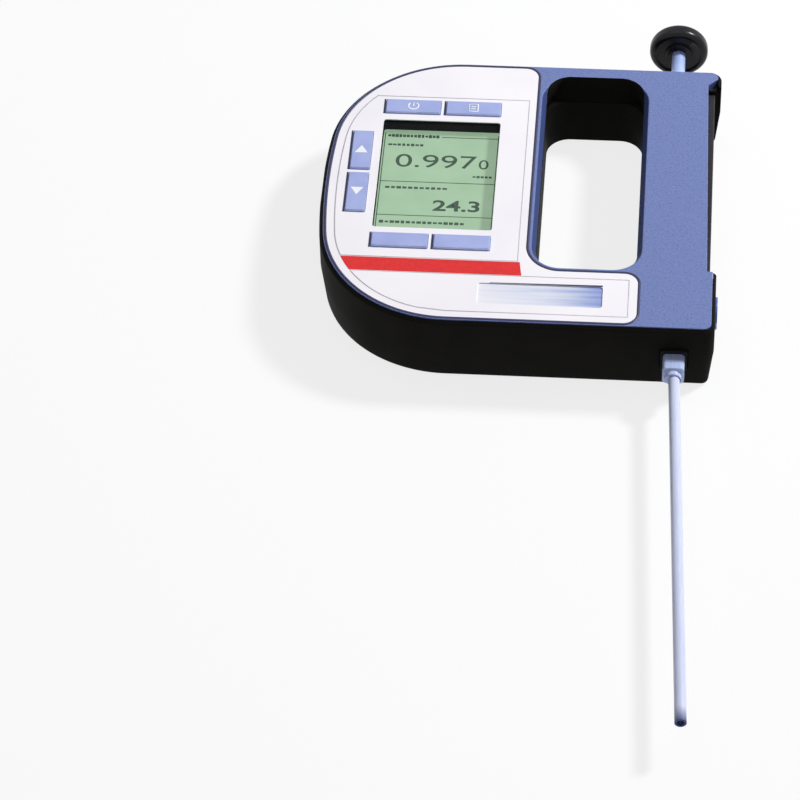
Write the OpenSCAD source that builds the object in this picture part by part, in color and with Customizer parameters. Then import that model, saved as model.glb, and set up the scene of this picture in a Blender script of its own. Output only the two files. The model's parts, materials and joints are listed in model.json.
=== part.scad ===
// Portable density meter: a flat D-shaped case with a finger opening, a measuring cell,
// a hand pump in the handle and a straight filling tube.
// The case lies on its back: +Z points out of the display, +Y towards the pump knob
// and +X towards the handle. The origin is the centre of the back face.

/* [Case] */
// Width of the case, from the round flank to the handle side
case_w = 141; // [139:1:146]
// Height of the case, along the pump
case_h = 134.5; // [131.5:1:137.5]
// Depth of the case, from the back to the front face
case_d = 28; // [27:0.5:30]
// Radius of the two large corners of the round flank
corner_r = 47; // [44:1:50]
// Radius of the slightly bowed round flank
flank_r = 260; // [220:10:400]
// Radius of the two corners on the handle side
end_r = 4; // [4:0.5:7]
// Thickness of the case's side walls
wall = 3; // [2.8:0.1:3.4]
// Thickness of the case's floor
floor_t = 2.4; // [2:0.1:2.8]
// Size of the rounded edge round the back
back_round = 1.6; // [0.8:0.1:2.1]
// How far the sides draw in towards the back
back_taper = 1.4; // [0.8:0.1:1.8]
// Size of the chamfer on the case's front rim
rim_edge = 0.9; // [0.4:0.1:1.1]
// How far the case's rim lies below the front face
rim_step = 0.6; // [0.3:0.1:1]
// Play between pieces that drop into each other
play = 0.15; // [0.1:0.05:0.2]

/* [Front cover] */
// Thickness of the front cover
cover_t = 3; // [2.8:0.1:3.2]
// Width of the case rim that shows round the cover
cover_inset = 1.3; // [1:0.1:1.5]
// Thickness of the white label
label_t = 0.4; // [0.3:0.05:0.5]
// Distance from the case outline to the label
label_inset = 2.4; // [2:0.1:3]
// Distance from the finger opening to the label
label_margin = 1.5; // [1:0.1:2]
// Corner radius of the label
label_r = 5; // [3:0.5:6]
// Gap round the label
label_gap = 0.25; // [0.1:0.05:0.4]
// Height of the gasket between case and cover
gasket_t = 0.5; // [0.4:0.1:0.8]
// Width of that gasket
gasket_w = 1.2; // [1:0.1:1.3]

/* [Finger opening] */
// Width of the handle beside the finger opening
handle_w = 26.1; // [25.6:0.1:27]
// Width of the finger opening at the front face
grip_w = 38.9; // [37:0.1:40]
// Height of the strip below the finger opening
strip_h = 28.5; // [28:0.1:33]
// Height of the bridge above the finger opening
bridge_h = 7.8; // [7.3:0.1:8.8]
// Corner radius of the finger opening at the front face
grip_r = 10.5; // [9:0.5:12]
// Width of the bevel round the finger opening
grip_bevel = 1.8; // [1.4:0.1:2]
// Wall round the finger opening
grip_wall = 2; // [1.8:0.1:2.4]
// Depth at which the bridge's slope ends below the front face
bridge_drop = 8; // [6:0.5:9]
// Flat that the slope leaves along the bridge
bridge_flat = 4.9; // [4.5:0.1:5.5]

/* [Display] */
// Distance from the round flank to the display opening
display_left = 19.6; // [19:0.1:21]
// Distance from the display opening to the finger opening
display_right = 14.2; // [13:0.1:16]
// Distance from the case's top to the display opening
display_top = 32.5; // [31.5:0.1:34.5]
// Distance from the display opening to the case's bottom
display_low = 46; // [45:0.1:47]
// Depth of the display below the front face
display_depth = 5; // [4.6:0.1:5.2]
// Thickness of the display panel
lcd_t = 1.6; // [1.4:0.1:1.8]
// Thickness of the window panes
pane_t = 1; // [0.8:0.1:1.2]
// Width of the ledge that carries a pane
pane_ledge = 1.2; // [1:0.1:1.6]
// Wall of the frame round the display
lcd_frame_wall = 1.2; // [1:0.1:1.3]

/* [Keys] */
// How far a pair of keys ends short of the display's sides
key_inset = 0.15; // [0:0.05:1]
// Short side of a key
key_short = 7.2; // [6.5:0.1:7.6]
// Gap between the two keys of a pair
key_gap = 1.9; // [1.6:0.1:2.4]
// Distance from the display opening to the keys
key_margin = 3.2; // [3:0.1:3.6]
// How far a key stands out of the label
key_raise = 0.8; // [0.5:0.1:1.2]
// Travel of a key
key_travel = 0.7; // [0.5:0.05:0.8]
// Corner radius of a key
key_r = 0.5; // [0.3:0.1:1.3]
// Width of the collar that keeps a key behind the cover
key_collar = 0.6; // [0.4:0.05:0.7]
// Thickness of that collar
key_collar_t = 1; // [0.8:0.1:1.1]
// Thickness of the keypad mat
mat_t = 1; // [0.8:0.1:1.2]

/* [Circuit board] */
// Thickness of the main board
board_t = 1.2; // [1:0.1:1.4]
// Margin of the main board beside the display
board_side = 7.4; // [7:0.1:7.8]
// Margin of the main board above and below the display
board_end = 14; // [13:0.1:14.5]
// Diameter of the four board posts
board_post_d = 5; // [4:0.5:5.5]

/* [Power] */
// Diameter of a battery
battery_d = 14.5; // [14:0.1:14.5]
// Length of a battery
battery_l = 50.5; // [49:0.5:51]
// Room for the contacts at each end of a battery
contact_room = 3; // [2.5:0.1:4]
// Wall of the battery bay
bay_wall = 1.2; // [1:0.1:1.3]
// Roof of the battery bay
bay_roof = 0.8; // [0.6:0.1:0.9]
// Thickness of the battery cover
hatch_t = 1.4; // [1.2:0.1:1.5]
// Margin of the battery cover round its bay
hatch_margin = 2.4; // [2:0.1:3]
// Length of the screw tab at each end of the battery cover
hatch_tab = 8; // [7:0.5:9]
// Height of the battery cover's seal
hatch_seal_t = 0.6; // [0.4:0.1:0.8]

/* [Measuring cell] */
// Width of the cell window
window_w = 43.3; // [42:0.1:44]
// Height of the cell window
window_h = 10.2; // [9.6:0.1:10.8]
// Distance from the cell window to the strip's end
window_end = 12.25; // [11.5:0.05:13]
// Outer diameter of the glass U-tube
u_tube_d = 3; // [2.8:0.1:3.2]
// Bore of the glass U-tube
u_tube_bore = 1.9; // [1.6:0.1:2.1]
// Distance between the two legs of the U-tube
u_tube_gap = 5; // [4.8:0.1:5.4]
// Length of the legs of the U-tube
u_tube_leg = 48; // [46:0.5:49]
// Width of the cell block
block_w = 62; // [61:0.5:63]
// Height of the cell block
block_h = 17; // [16:0.5:17.5]
// Depth of the cell block
block_t = 12; // [11:0.5:13]

/* [Pump] */
// Distance from the handle side to the pump axis
pump_inset = 16; // [15.8:0.1:16.2]
// Height of the pump axis above the back
pump_z = 15.5; // [15.2:0.1:15.8]
// Diameter of the plunger rod
rod_d = 5; // [4.6:0.1:5.2]
// Stroke of the plunger
stroke = 19; // [18:0.5:23]
// Gap between the case and the pushed-in knob
knob_gap = 2.5; // [2:0.5:6]
// Diameter of the pump knob
knob_d = 21.5; // [19:0.5:23]
// Thickness of the pump knob
knob_t = 6.4; // [5.5:0.1:7]
// Bore of the pump barrel
barrel_bore = 9.6; // [9.2:0.1:9.8]
// Outer diameter of the pump barrel
barrel_d = 12; // [11.6:0.1:12.4]
// Length of the pump barrel
barrel_l = 60; // [58:0.5:62]
// Length of the piston
piston_l = 8; // [7:0.5:9]
// Wire of the pump spring
spring_wire = 1; // [0.8:0.1:1.1]
// Turns of the pump spring
spring_turns = 12; // [8:1:14]
// Running clearance round the rod and the piston
run_gap = 0.05; // [0.03:0.01:0.08]

/* [Release trigger] */
// Depth of the trigger's recess in the handle side
recess_depth = 7.9; // [7.6:0.1:8]
// Distance from the case's top to the recess
recess_top = 8.2; // [8:0.1:9]
// Distance from the recess to the case's bottom
recess_low = 29.5; // [29:0.1:32]
// Wall behind the recess
recess_wall = 1.6; // [1.4:0.1:1.8]
// How far the trigger lies below the handle side
trigger_sink = 2.2; // [2:0.1:2.4]
// Thickness of the trigger
trigger_t = 3.1; // [2.9:0.1:3.3]
// Angle that the trigger is squeezed by
trigger_angle = 1.4; // [1:0.1:1.4]
// Diameter of the trigger's hinge pin
trigger_pin_d = 2; // [1.6:0.1:2.4]
// Tilt of the locking plate at rest
lock_tilt = 4; // [3:0.5:4.5]
// Thickness of the locking plate
lock_t = 1.6; // [1.4:0.1:1.8]

/* [Inlet] */
// Distance from the handle side to the filling tube
inlet_inset = 13.7; // [13.4:0.1:14]
// Height of the filling tube above the back
inlet_z = 13.9; // [13.6:0.1:14.4]
// Outer diameter of the filling tube
fill_d = 4; // [3.6:0.1:4.2]
// Bore of the filling tube
fill_bore = 2.6; // [2:0.1:2.8]
// Length of the filling tube
fill_l = 160; // [100:5:200]
// Lean of the filling tube towards the handle side
fill_lean = 2.3; // [0:0.1:3]
// Width of the inlet collar
collar_w = 9.2; // [8.8:0.1:9.6]
// How far the collar stands out of the case
collar_out = 1; // [0.5:0.1:1.5]
// Width of the tube fitting
fitting_w = 7.6; // [7:0.1:8]
// Length of the tube fitting outside the collar
fitting_l = 9; // [8:0.5:11]
// Diameter of the screw plug
plug_d = 11.5; // [11:0.1:12]
// How far the screw plug stands out of the case
plug_out = 0.8; // [0.5:0.1:1.5]
// Diameter of the retaining screw's head
lock_screw_d = 5.8; // [5.2:0.1:6]

/* [Hoses] */
// Outer diameter of the inner hoses
hose_d = 4; // [3.6:0.1:4.2]
// Bore of the inner hoses
hose_bore = 2; // [1.6:0.1:2.2]

/* [Fasteners] */
// Diameter of the case screws
screw_d = 2.5; // [2:0.1:2.8]
// Diameter of the case screws' heads
screw_head_d = 4.4; // [4:0.1:4.6]
// Height of the case screws' heads
screw_head_t = 1.8; // [1.5:0.1:2.2]
// Diameter of the board screws
board_screw_d = 2; // [1.6:0.1:2.2]
// Diameter of the board screws' heads
board_screw_head_d = 3.6; // [3.2:0.1:3.8]
// Height of the board screws' heads
board_screw_head_t = 1.4; // [1:0.1:1.5]
// Length of the board screws
board_screw_l = 7; // [5:0.5:8]
// Diameter of the posts round the case screws
post_d = 5.2; // [4.8:0.1:5.4]

/* [Hidden] */
$fn = 96;
// Radial gap where one piece is fixed in another
slack = 0.02;
// How far a cut runs past the face that it opens
over = 1;
// Gap between pieces that pass each other
clear = 0.3;
// A length beyond every piece
far = 400;
// Height inside the floor at which posts and pins start
foot_z = 1;

half_w = case_w / 2;
half_h = case_h / 2;
corner_y = half_h - corner_r;
flank_x = flank_r - half_w;
flank_span = flank_r - corner_r;
corner_x = flank_x - sqrt(flank_span * flank_span - corner_y * corner_y);
flank_dir = [(corner_x - flank_x) / flank_span, corner_y / flank_span];

// Height above the back at which the sides' taper ends
taper_z = 15;
rim_z = case_d - rim_step;
cover_z = case_d - cover_t;
seat_z = cover_z - gasket_t;
label_z = case_d - label_t;

// Finger opening: its straight part, which the bevel widens at the front
grip_x1 = half_w - handle_w - grip_bevel;
grip_x0 = grip_x1 - grip_w + 2 * grip_bevel;
grip_y1 = half_h - bridge_h - grip_bevel;
grip_y0 = strip_h + grip_bevel - half_h;
grip_base_r = grip_r - grip_bevel;
lip_t = 1;
lip_z = case_d - bridge_drop - lip_t;
lip_side = grip_wall - gasket_w;
slope_edge = 0.5;
slope_low = [grip_y1 + slope_edge, case_d - bridge_drop];
slope_high = [half_h - cover_inset - bridge_flat, case_d];
slope_rate = (slope_high[1] - slope_low[1]) / (slope_high[0] - slope_low[0]);

// Label: right edge beside the opening, and the strip below it
strip_edge = 0.75;
label_x = grip_x0 - grip_bevel - label_margin;
strip_y = grip_y0 - grip_bevel - label_margin;
strip_x = grip_x1 + grip_bevel - strip_edge;
bend_r = grip_r + label_margin;
bend_c = [label_x + bend_r, strip_y + bend_r];

// Display, between the round flank and the finger opening
display_w = case_w - handle_w - grip_w - display_left - display_right;
display_h = case_h - display_top - display_low;
display_x = display_left + display_w / 2 - half_w;
display_y = display_low + display_h / 2 - half_h;

// Display stack, from the front down
lcd_top = case_d - display_depth;
board_top = lcd_top - lcd_t;
board_z = board_top - board_t;
pane_z = label_z - pane_t;
pane_r = 1;
board_shift = 2.4;
board_r = 2;
board_w = display_w + 2 * board_side;
board_h = display_h + 2 * board_end;
board_c = [display_x - board_shift, display_y];
board_post_edge = 2.2;
board_post_y = board_h / 2 - board_post_edge;
board_post_left = 11.5;
board_post_right = 3.5;
board_posts_x = [board_post_left - board_w / 2, board_w / 2 - board_post_right];
board_posts = [for (x = board_posts_x, y = [-1, 1]) board_c + [x, y * board_post_y]];

// Keys: [centre, is it upright]
key_long = (display_w - key_gap) / 2 - key_inset;
key_pair = (key_long + key_gap) / 2;
key_row = key_margin + key_short / 2;
key_top_y = display_y + display_h / 2 + key_row;
key_low_y = display_y - display_h / 2 - key_row;
key_side_x = display_x - display_w / 2 - key_row;
key_power_at = [[display_x - key_pair, key_top_y], false];
key_light_at = [[display_x + key_pair, key_top_y], false];
key_up_at = [[key_side_x, display_y + key_pair], true];
key_down_at = [[key_side_x, display_y - key_pair], true];
key_left_at = [[display_x - key_pair, key_low_y], false];
key_right_at = [[display_x + key_pair, key_low_y], false];
keys_at = [key_power_at, key_light_at, key_up_at, key_down_at, key_left_at, key_right_at];
key_bottom = cover_z - key_collar_t;
key_crown = 0.3;
key_rest_gap = 0.1;
mat_top = key_bottom - key_travel - key_rest_gap;
mat_edge = 1.2;

// Battery bay under the display
battery_gap = 0.4;
bay_side = 0.5;
bay_shift = 7.5;
battery_pitch = battery_d + battery_gap;
bay_w = battery_pitch + battery_d + 2 * bay_side;
bay_l = battery_l + 2 * contact_room;
bay_c = [display_x, display_y - bay_shift];
battery_z = hatch_t + play + battery_d / 2;
bay_top = battery_z + battery_d / 2 + play;
hatch_w = bay_w + 2 * hatch_margin;
hatch_l = bay_l + 2 * hatch_tab;
hatch_r = 3;
hatch_seal_r = 2;
hatch_screws = [for (s = [-1, 1]) [bay_c[0], bay_c[1] + s * (hatch_l - hatch_tab) / 2]];
hatch_post_wall = 1.5;
hatch_post_d = screw_d + 2 * hatch_post_wall;
hatch_post_top = 8.4;
hatch_head_t = 0.9;
hatch_screw_l = 6.8;
hatch_rib = 1;
hatch_rib_pitch = 2.4;
hatch_ribs = 3;

// Measuring cell
cell_shift = 1;
block_side = 34;
block_skin = 0.2;
window_x = strip_x - window_end - window_w / 2;
window_y = (strip_y - half_h + label_inset) / 2;
u_tube_z = cover_z - hose_d / 2 - clear;
u_tube_y = window_y + cell_shift;
leg_in_y = u_tube_y - u_tube_gap / 2;
leg_out_y = u_tube_y + u_tube_gap / 2;
block_x1 = window_x + block_side;
block_x0 = block_x1 - block_w;
block_top = u_tube_z + u_tube_d / 2 + block_skin;
block_z = block_top - block_t;
trough_wall = 5;
trough_side = 1.2;
trough_depth = 6.2;
trough_floor = u_tube_z - trough_depth;
trough_half = (u_tube_gap + u_tube_d) / 2 + trough_side;
clamp_l = 8;
leg_out = 3;
leg_end_x = block_x1 + leg_out;
bend_x = leg_end_x - u_tube_leg - leg_out;
apex_x = bend_x - u_tube_gap / 2;
magnet_d = 2.2;
magnet_l = 2.6;
coil_d = 6;
coil_t = 2.4;
coil_gap = 0.4;
light_t = 0.8;
light_edge = 1;
sensor_d = 2.5;
sensor_in = 10;
sensor_out = 4;
sensor_rise = 2.6;
sensor_z = block_z + sensor_rise;

// Pump
pump_x = half_w - pump_inset;
knob_y0 = half_h + knob_gap + stroke;
knob_cap = 2;
knob_rim = 2.4;
knob_dish = 0.8;
knob_hub = 2.6;
bush_wall = 2;
bush_d = rod_d + 2 * bush_wall;
bush_flange = 1;
bush_in = 8.5;
barrel_top = 20.5;
barrel_end = 4;
barrel_y1 = half_h - barrel_top;
barrel_y0 = barrel_y1 - barrel_l;
bore_y0 = barrel_y0 + barrel_end;
cap_half = 1.5;
piston_y1 = barrel_y1 - cap_half - clear;
piston_y0 = piston_y1 - piston_l;
piston_mid = (piston_y0 + piston_y1) / 2;
piston_floor = 2;
rod_seat = piston_y0 + piston_floor;
ring_d = 1.6;
ring_room = 0.2;
nozzle_edge = 0.3;
nozzle_d = hose_d - 2 * nozzle_edge;
nozzle_l = 4;
spring_gap = 0.4;
spring_end = 0.05;
spring_r = (barrel_bore - spring_wire) / 2 - spring_gap;
saddle_t = 2;
saddle_side = 1;
saddle_from_low = 12;
saddle_from_top = 14;
saddles_y = [barrel_y0 + saddle_from_low, barrel_y1 - saddle_from_top];
rib_from_end = 6;
block_ribs_x = [block_x0 + rib_from_end, block_x1 - saddle_t - rib_from_end];

// Release trigger: a lever hinged at the low end of its recess
trigger_gap = 0.6;
hinge_wall = 1.5;
hinge_gap = 0.5;
recess_x = half_w - recess_depth;
recess_y1 = half_h - recess_top;
recess_y0 = recess_low - half_h;
recess_l = recess_y1 - recess_y0;
trigger_x1 = half_w - trigger_sink;
trigger_x0 = trigger_x1 - trigger_t;
trigger_z0 = floor_t + trigger_gap;
trigger_z1 = seat_z - hinge_gap;
pivot_r = trigger_pin_d / 2 + hinge_wall;
pivot = [trigger_x1 - pivot_r, recess_y0 + pivot_r + hinge_gap];
trigger_top = recess_y1 - trigger_gap;
cut_back_top = 4.8;
cut_back_low = 3.3;

// Rod lock: a tilting plate that the trigger's nose presses square to the rod
lock_above = 6.5;
lock_offset = 6.6;
lock_back = 1.6;
lock_end_gap = 0.4;
lock_y = barrel_y1 + lock_above;
lock_pivot = [pump_x - lock_offset, lock_y];
lock_reach = recess_x - recess_wall - lock_pivot[0] - lock_end_gap;
lock_tip_x = lock_pivot[0] + lock_reach;
lock_w = 8;
lock_hole_gap = 0.25;
lock_hole_d = rod_d + 2 * lock_hole_gap;
lock_pin_d = 1.2;
lock_rise = lock_reach * sin(lock_tilt);
nose_move = (lock_y - pivot[1]) * sin(trigger_angle);
nose_rate = lock_rise / nose_move;
nose_gap = 0.25;
nose_t = 2.15;
nose_low = lock_y + lock_rise + lock_t / 2 + nose_gap;
nose_top = nose_low + nose_t;
nose_in = 1.2;
nose_x0 = recess_x - recess_wall - nose_in;
nose_sunk = 0.5;
nose_root = trigger_x0 + nose_sunk;
nose_w = 5;
nose_room = 0.4;
lock_spring_wire = 0.6;
lock_spring_turns = 3;
lock_spring_r = (rod_d + lock_spring_wire) / 2 + spring_gap;
lock_spring_y = barrel_y1 + cap_half + spring_end;
lock_spring_h = lock_y - lock_t / 2 - clear - lock_spring_y;
leaf_t = 0.4;
leaf_half = 8;
leaf_bow = trigger_x0 - recess_x - clear;
leaf_r = (leaf_half * leaf_half + leaf_bow * leaf_bow) / (2 * leaf_bow);
leaf_w = 6;
leaf_up = 30;
leaf_y = pivot[1] + leaf_up;

// Inlet
inlet_x = half_w - inlet_inset;
collar_past = 1;
collar_in = wall + collar_past;
spigot_d = 6;
spigot_past = 1.5;
spigot_end = collar_in + spigot_past - half_h;
fitting_root = 0.5;
fitting_r = 1.6;
nose_l = 2;
nose_wall = 0.8;
tube_seat = 1.5;
tube_end_gap = 0.1;
tube_start = tube_seat + tube_end_gap;

// Screw plug and retaining screw: [along Y, height], the second beside the first
plug_up = 21;
plug_z = 16;
screw_drop = 2.5;
bore_gap = 0.2;
plug_pitch = (plug_d + lock_screw_d) / 2 + 2 * play + bore_gap;
plug_at = [plug_up - half_h, plug_z];
lock_screw_at = plug_at - [sqrt(plug_pitch * plug_pitch - screw_drop * screw_drop), screw_drop];
plug_shoulder = 1.5;
plug_body_d = plug_d - 2 * plug_shoulder;
boss_l = 6;
boss_x = half_w - wall - boss_l;
boss_end = 1;
plug_head_t = 2;
plug_root = 0.5;
plug_seal_t = 0.8;
plug_seal_edge = 0.3;
lock_screw_l = 7;
slot_w = 1.4;

// Case screws: their places follow the case's edges
screw_from_flank = 28;
screw_from_side = 13;
screw_from_grip = 8.5;
screw_from_post = 1.8;
screw_from_wall = 3.2;
screw_wall = wall + screw_from_wall;
handle_screw_x = grip_x1 + grip_wall + post_d / 2 + bore_gap;
case_screws_at = [
    [screw_from_flank - half_w, half_h - screw_from_side],
    [screw_from_flank - half_w, screw_from_side - half_h],
    [grip_x0 - screw_from_grip, half_h - screw_wall],
    [handle_screw_x, half_h - screw_wall],
    [handle_screw_x + screw_from_post, screw_wall - half_h],
    [half_w - screw_wall, screw_wall - half_h],
];
cover_boss = 4;
post_top = cover_z - cover_boss;
screw_sink = 1;
screw_room = 0.3;
screw_skin = 1.6;
screw_tip = case_d - screw_skin;
tip_room = 0.4;
socket = 0.5;

// Hoses: straights that reach into the bends by a lap
hose_out_r = 7;
hose_last = 2;
hose_mid = 0.8;
hose_lap = 0.2;

BLACK = "#15151a";
BLUE = "#7685b9";
STEEL = "#b9c0cc";

// Flat outlines

// Rectangle with round corners, from its low corner to its high corner
module round_rect(low, high, r) {
    translate([low[0] + r, low[1]])
        square([high[0] - low[0] - 2 * r, high[1] - low[1]]);
    translate([low[0], low[1] + r])
        square([high[0] - low[0], high[1] - low[1] - 2 * r]);
    for (x = [low[0] + r, high[0] - r], y = [low[1] + r, high[1] - r])
        translate([x, y])
            circle(r = r);
}

// The D-shaped outline of the case, drawn in by an inset
module d_plan(inset) {
    reach = corner_r + over;
    far_point = [corner_x, corner_y] + reach * flank_dir;
    for (s = [-1, 1])
        translate([corner_x, s * corner_y])
            circle(r = corner_r - inset);
    intersection() {
        translate([flank_x, 0])
            circle(r = flank_r - inset);
        polygon([
            [corner_x, corner_y], far_point,
            [far_point[0], -far_point[1]], [corner_x, -corner_y],
        ]);
    }
    end_inset_r = max(end_r - inset, end_r / 8);
    difference() {
        round_rect([corner_x - end_inset_r, inset - half_h], [half_w - inset, half_h - inset], end_inset_r);
        translate([corner_x - far, -far])
            square([far, 2 * far]);
    }
}

// The finger opening's straight outline, widened by a growth
module grip_plan(growth) {
    round_rect(
        [grip_x0 - growth, grip_y0 - growth], [grip_x1 + growth, grip_y1 + growth], grip_base_r + growth
    );
}

// The outline of the sealed inside, widened by a growth
module inside_plan(growth) {
    thick = grip_wall - growth;
    difference() {
        d_plan(wall - growth);
        grip_plan(thick);
        translate([grip_x0 - thick, grip_y1 - grip_base_r])
            square([grip_x1 - grip_x0 + 2 * thick, half_h - grip_y1 + grip_base_r]);
        translate([recess_x - recess_wall + growth, recess_y0 - recess_wall + growth])
            square([recess_depth + over, recess_l + 2 * (recess_wall - growth)]);
    }
}

// The cover's lip over the bridge, wider than the opening by a margin at each side
module lip_plan(margin, top_gap) {
    low_y = grip_y1 - grip_base_r;
    translate([grip_x0 - margin, low_y])
        square([grip_x1 - grip_x0 + 2 * margin, half_h - cover_inset + top_gap - low_y]);
}

// The label's outline, drawn in by an inset
module label_plan(inset) {
    edge = half_h - label_inset - inset;
    corner = label_r - inset;
    intersection() {
        d_plan(label_inset + inset);
        union() {
            round_rect([-case_w, -edge], [label_x - inset, edge], corner);
            round_rect([-case_w, -edge], [strip_x - inset, strip_y - inset], corner);
            difference() {
                translate([label_x - inset - label_r, strip_y - inset - label_r])
                    square([bend_r + inset + label_r, bend_r + inset + label_r]);
                translate(bend_c)
                    circle(r = bend_r + inset);
            }
        }
    }
}

// A key's outline, widened by a growth
module key_plan(at, growth) {
    half = (at[1] ? [key_short, key_long] : [key_long, key_short]) / 2;
    reach = half + [growth, growth];
    round_rect(at[0] - reach, at[0] + reach, max(key_r + growth, key_r / 2));
}

module display_plan(growth) {
    half = [display_w / 2 + growth, display_h / 2 + growth];
    centre = [display_x, display_y];
    round_rect(centre - half, centre + half, pane_r + growth);
}

module window_plan(growth) {
    half = [window_w / 2 + growth, window_h / 2 + growth];
    centre = [window_x, window_y];
    round_rect(centre - half, centre + half, pane_r + growth);
}

// Solids that several pieces share

// A plate from a flat outline
module plate(z0, z1) {
    translate([0, 0, z0])
        linear_extrude(z1 - z0)
            children();
}

// A solid with the D-shaped outline, whose side follows a profile of [inset, height] points
module d_body(profile) {
    reach = corner_r + over;
    far_point = [corner_x, corner_y] + reach * flank_dir;
    low = profile[0][1];
    high = profile[len(profile) - 1][1];
    for (s = [-1, 1]) {
        translate([corner_x, s * corner_y, 0])
            rotate_extrude()
                side_profile(profile, corner_r);
        translate([half_w - end_r, s * (half_h - end_r), 0])
            rotate_extrude()
                side_profile(profile, end_r);
    }
    intersection() {
        translate([flank_x, 0, 0])
            rotate_extrude()
                side_profile(profile, flank_r);
        plate(low, high)
            polygon([
                [corner_x, corner_y], far_point,
                [far_point[0], -far_point[1]], [corner_x, -corner_y],
            ]);
    }
    translate([corner_x, 0, 0])
        rotate([90, 0, 90])
            linear_extrude(half_w - end_r - corner_x) {
                side_profile(profile, half_h);
                mirror([1, 0])
                    side_profile(profile, half_h);
            }
    translate([0, half_h - end_r, 0])
        rotate([90, 0, 0])
            linear_extrude(2 * (half_h - end_r))
                side_profile(profile, half_w);
}

// Half of a cross section, from its axis out to a reach that the profile's insets draw in
module side_profile(profile, reach) {
    low = profile[0][1];
    high = profile[len(profile) - 1][1];
    polygon(concat([[0, low]], [for (p = profile) [reach - p[0], p[1]]], [[0, high]]));
}

// The finger opening's bevel: a round-cornered frustum that widens upwards
module grip_bevel_cut() {
    rise = cover_t + over;
    widen = grip_bevel * rise / cover_t;
    x0 = grip_x0 + grip_base_r;
    x1 = grip_x1 - grip_base_r;
    y0 = grip_y0 + grip_base_r;
    y1 = grip_y1 - grip_base_r;
    translate([0, 0, cover_z]) {
        for (x = [x0, x1], y = [y0, y1])
            translate([x, y, 0])
                cylinder(r1 = grip_base_r, r2 = grip_base_r + widen, h = rise);
        translate([x0, 0, 0])
            rotate([90, 0, 90])
                linear_extrude(x1 - x0)
                    polygon([[grip_y0, 0], [grip_y1, 0], [grip_y1 + widen, rise], [grip_y0 - widen, rise]]);
        translate([0, y1, 0])
            rotate([90, 0, 0])
                linear_extrude(y1 - y0)
                    polygon([[grip_x0, 0], [grip_x1, 0], [grip_x1 + widen, rise], [grip_x0 - widen, rise]]);
    }
}

// The slope that leads over the bridge into the finger opening
module bridge_slope_cut() {
    run = slope_low[0] - (grip_y1 - grip_base_r);
    high = slope_high + [over / slope_rate, over];
    low = slope_low - [run, run * slope_rate];
    intersection() {
        translate([grip_x0, 0, 0])
            rotate([90, 0, 90])
                linear_extrude(grip_x1 - grip_x0)
                    polygon([low, high, [low[0], high[1]]]);
        plate(lip_z, case_d + over)
            round_rect([grip_x0, grip_y0], [grip_x1, slope_high[0]], grip_base_r);
    }
}

// A round bar along Y, from y0 to y1
module bar_y(x, z, y0, y1, d) {
    translate([x, y1, z])
        rotate([90, 0, 0])
            cylinder(d = d, h = y1 - y0);
}

// A round bar along X, from x0 to x1
module bar_x(y, z, x0, x1, d) {
    translate([x0, y, z])
        rotate([0, 90, 0])
            cylinder(d = d, h = x1 - x0);
}

// A quarter bend of hose: it comes in along +X and leaves along +Y, where what follows starts
module hose_bend(r) {
    translate([0, r, 0])
        rotate([0, 0, -90])
            rotate_extrude(angle = 90)
                translate([r, 0])
                    difference() {
                        circle(d = hose_d);
                        circle(d = hose_bore);
                    }
    translate([r, r, 0])
        rotate([0, 0, 90])
            children();
}

// A straight of hose along +X with its laps at both ends; what follows starts at its end
module hose_run(l, lap_before, lap_after) {
    full = lap_before + l + lap_after;
    translate([-lap_before, 0, 0])
        rotate([0, 90, 0])
            difference() {
                cylinder(d = hose_d - slack, h = full);
                translate([0, 0, -over])
                    cylinder(d = hose_bore + slack, h = full + 2 * over);
            }
    translate([l, 0, 0])
        children();
}

// A wire coil round +Z, from z = 0 to its height
module wire_coil(r, h, wire, turns) {
    sides = 6;
    steps = 10 * turns;
    points = [
        for (i = [0:steps], j = [0:sides - 1])
            let (a = 360 * turns * i / steps, b = 360 * j / sides, out = r + wire / 2 * cos(b))
            [out * cos(a), out * sin(a), wire / 2 + (h - wire) * i / steps + wire / 2 * sin(b)],
    ];
    skin = [
        for (i = [0:steps - 1], j = [0:sides - 1])
            let (a = i * sides + j, b = i * sides + (j + 1) % sides)
            each [[a, a + sides, b + sides], [a, b + sides, b]],
    ];
    last = steps * sides;
    ends = [
        for (j = [1:sides - 2])
            each [[0, j, j + 1], [last, last + j + 1, last + j]],
    ];
    polyhedron(points = points, faces = concat(skin, ends));
}

// A pan-head screw that points up +Z, with its head below z = 0
module screw(l) {
    translate([0, 0, -screw_head_t])
        difference() {
            cylinder(d = screw_head_d, h = screw_head_t);
            translate([0, 0, -over])
                cylinder(d = screw_head_d * socket, h = screw_head_t * socket + over, $fn = 6);
        }
    cylinder(d = screw_d, h = l);
}

// Case and cover

module case_shell() {
    back_edge = [for (a = [0, 30, 60, 90]) [back_taper, 0] + back_round * [1 - sin(a), 1 - cos(a)]];
    d_body(concat(back_edge, [[0, taper_z], [0, rim_z - rim_edge], [rim_edge, rim_z]]));
}

module case_posts() {
    for (at = case_screws_at)
        translate([at[0], at[1], 0])
            cylinder(d = post_d, h = post_top);
    for (at = board_posts)
        translate([at[0], at[1], 0])
            cylinder(d = board_post_d, h = board_z);
    for (y = saddles_y)
        translate([pump_x - barrel_d / 2 - saddle_side, y, foot_z])
            cube([barrel_d + 2 * saddle_side, saddle_t, pump_z - foot_z]);
    for (x = block_ribs_x)
        translate([x, u_tube_y - block_h / 2, foot_z])
            cube([saddle_t, block_h, block_z - foot_z]);
}

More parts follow.
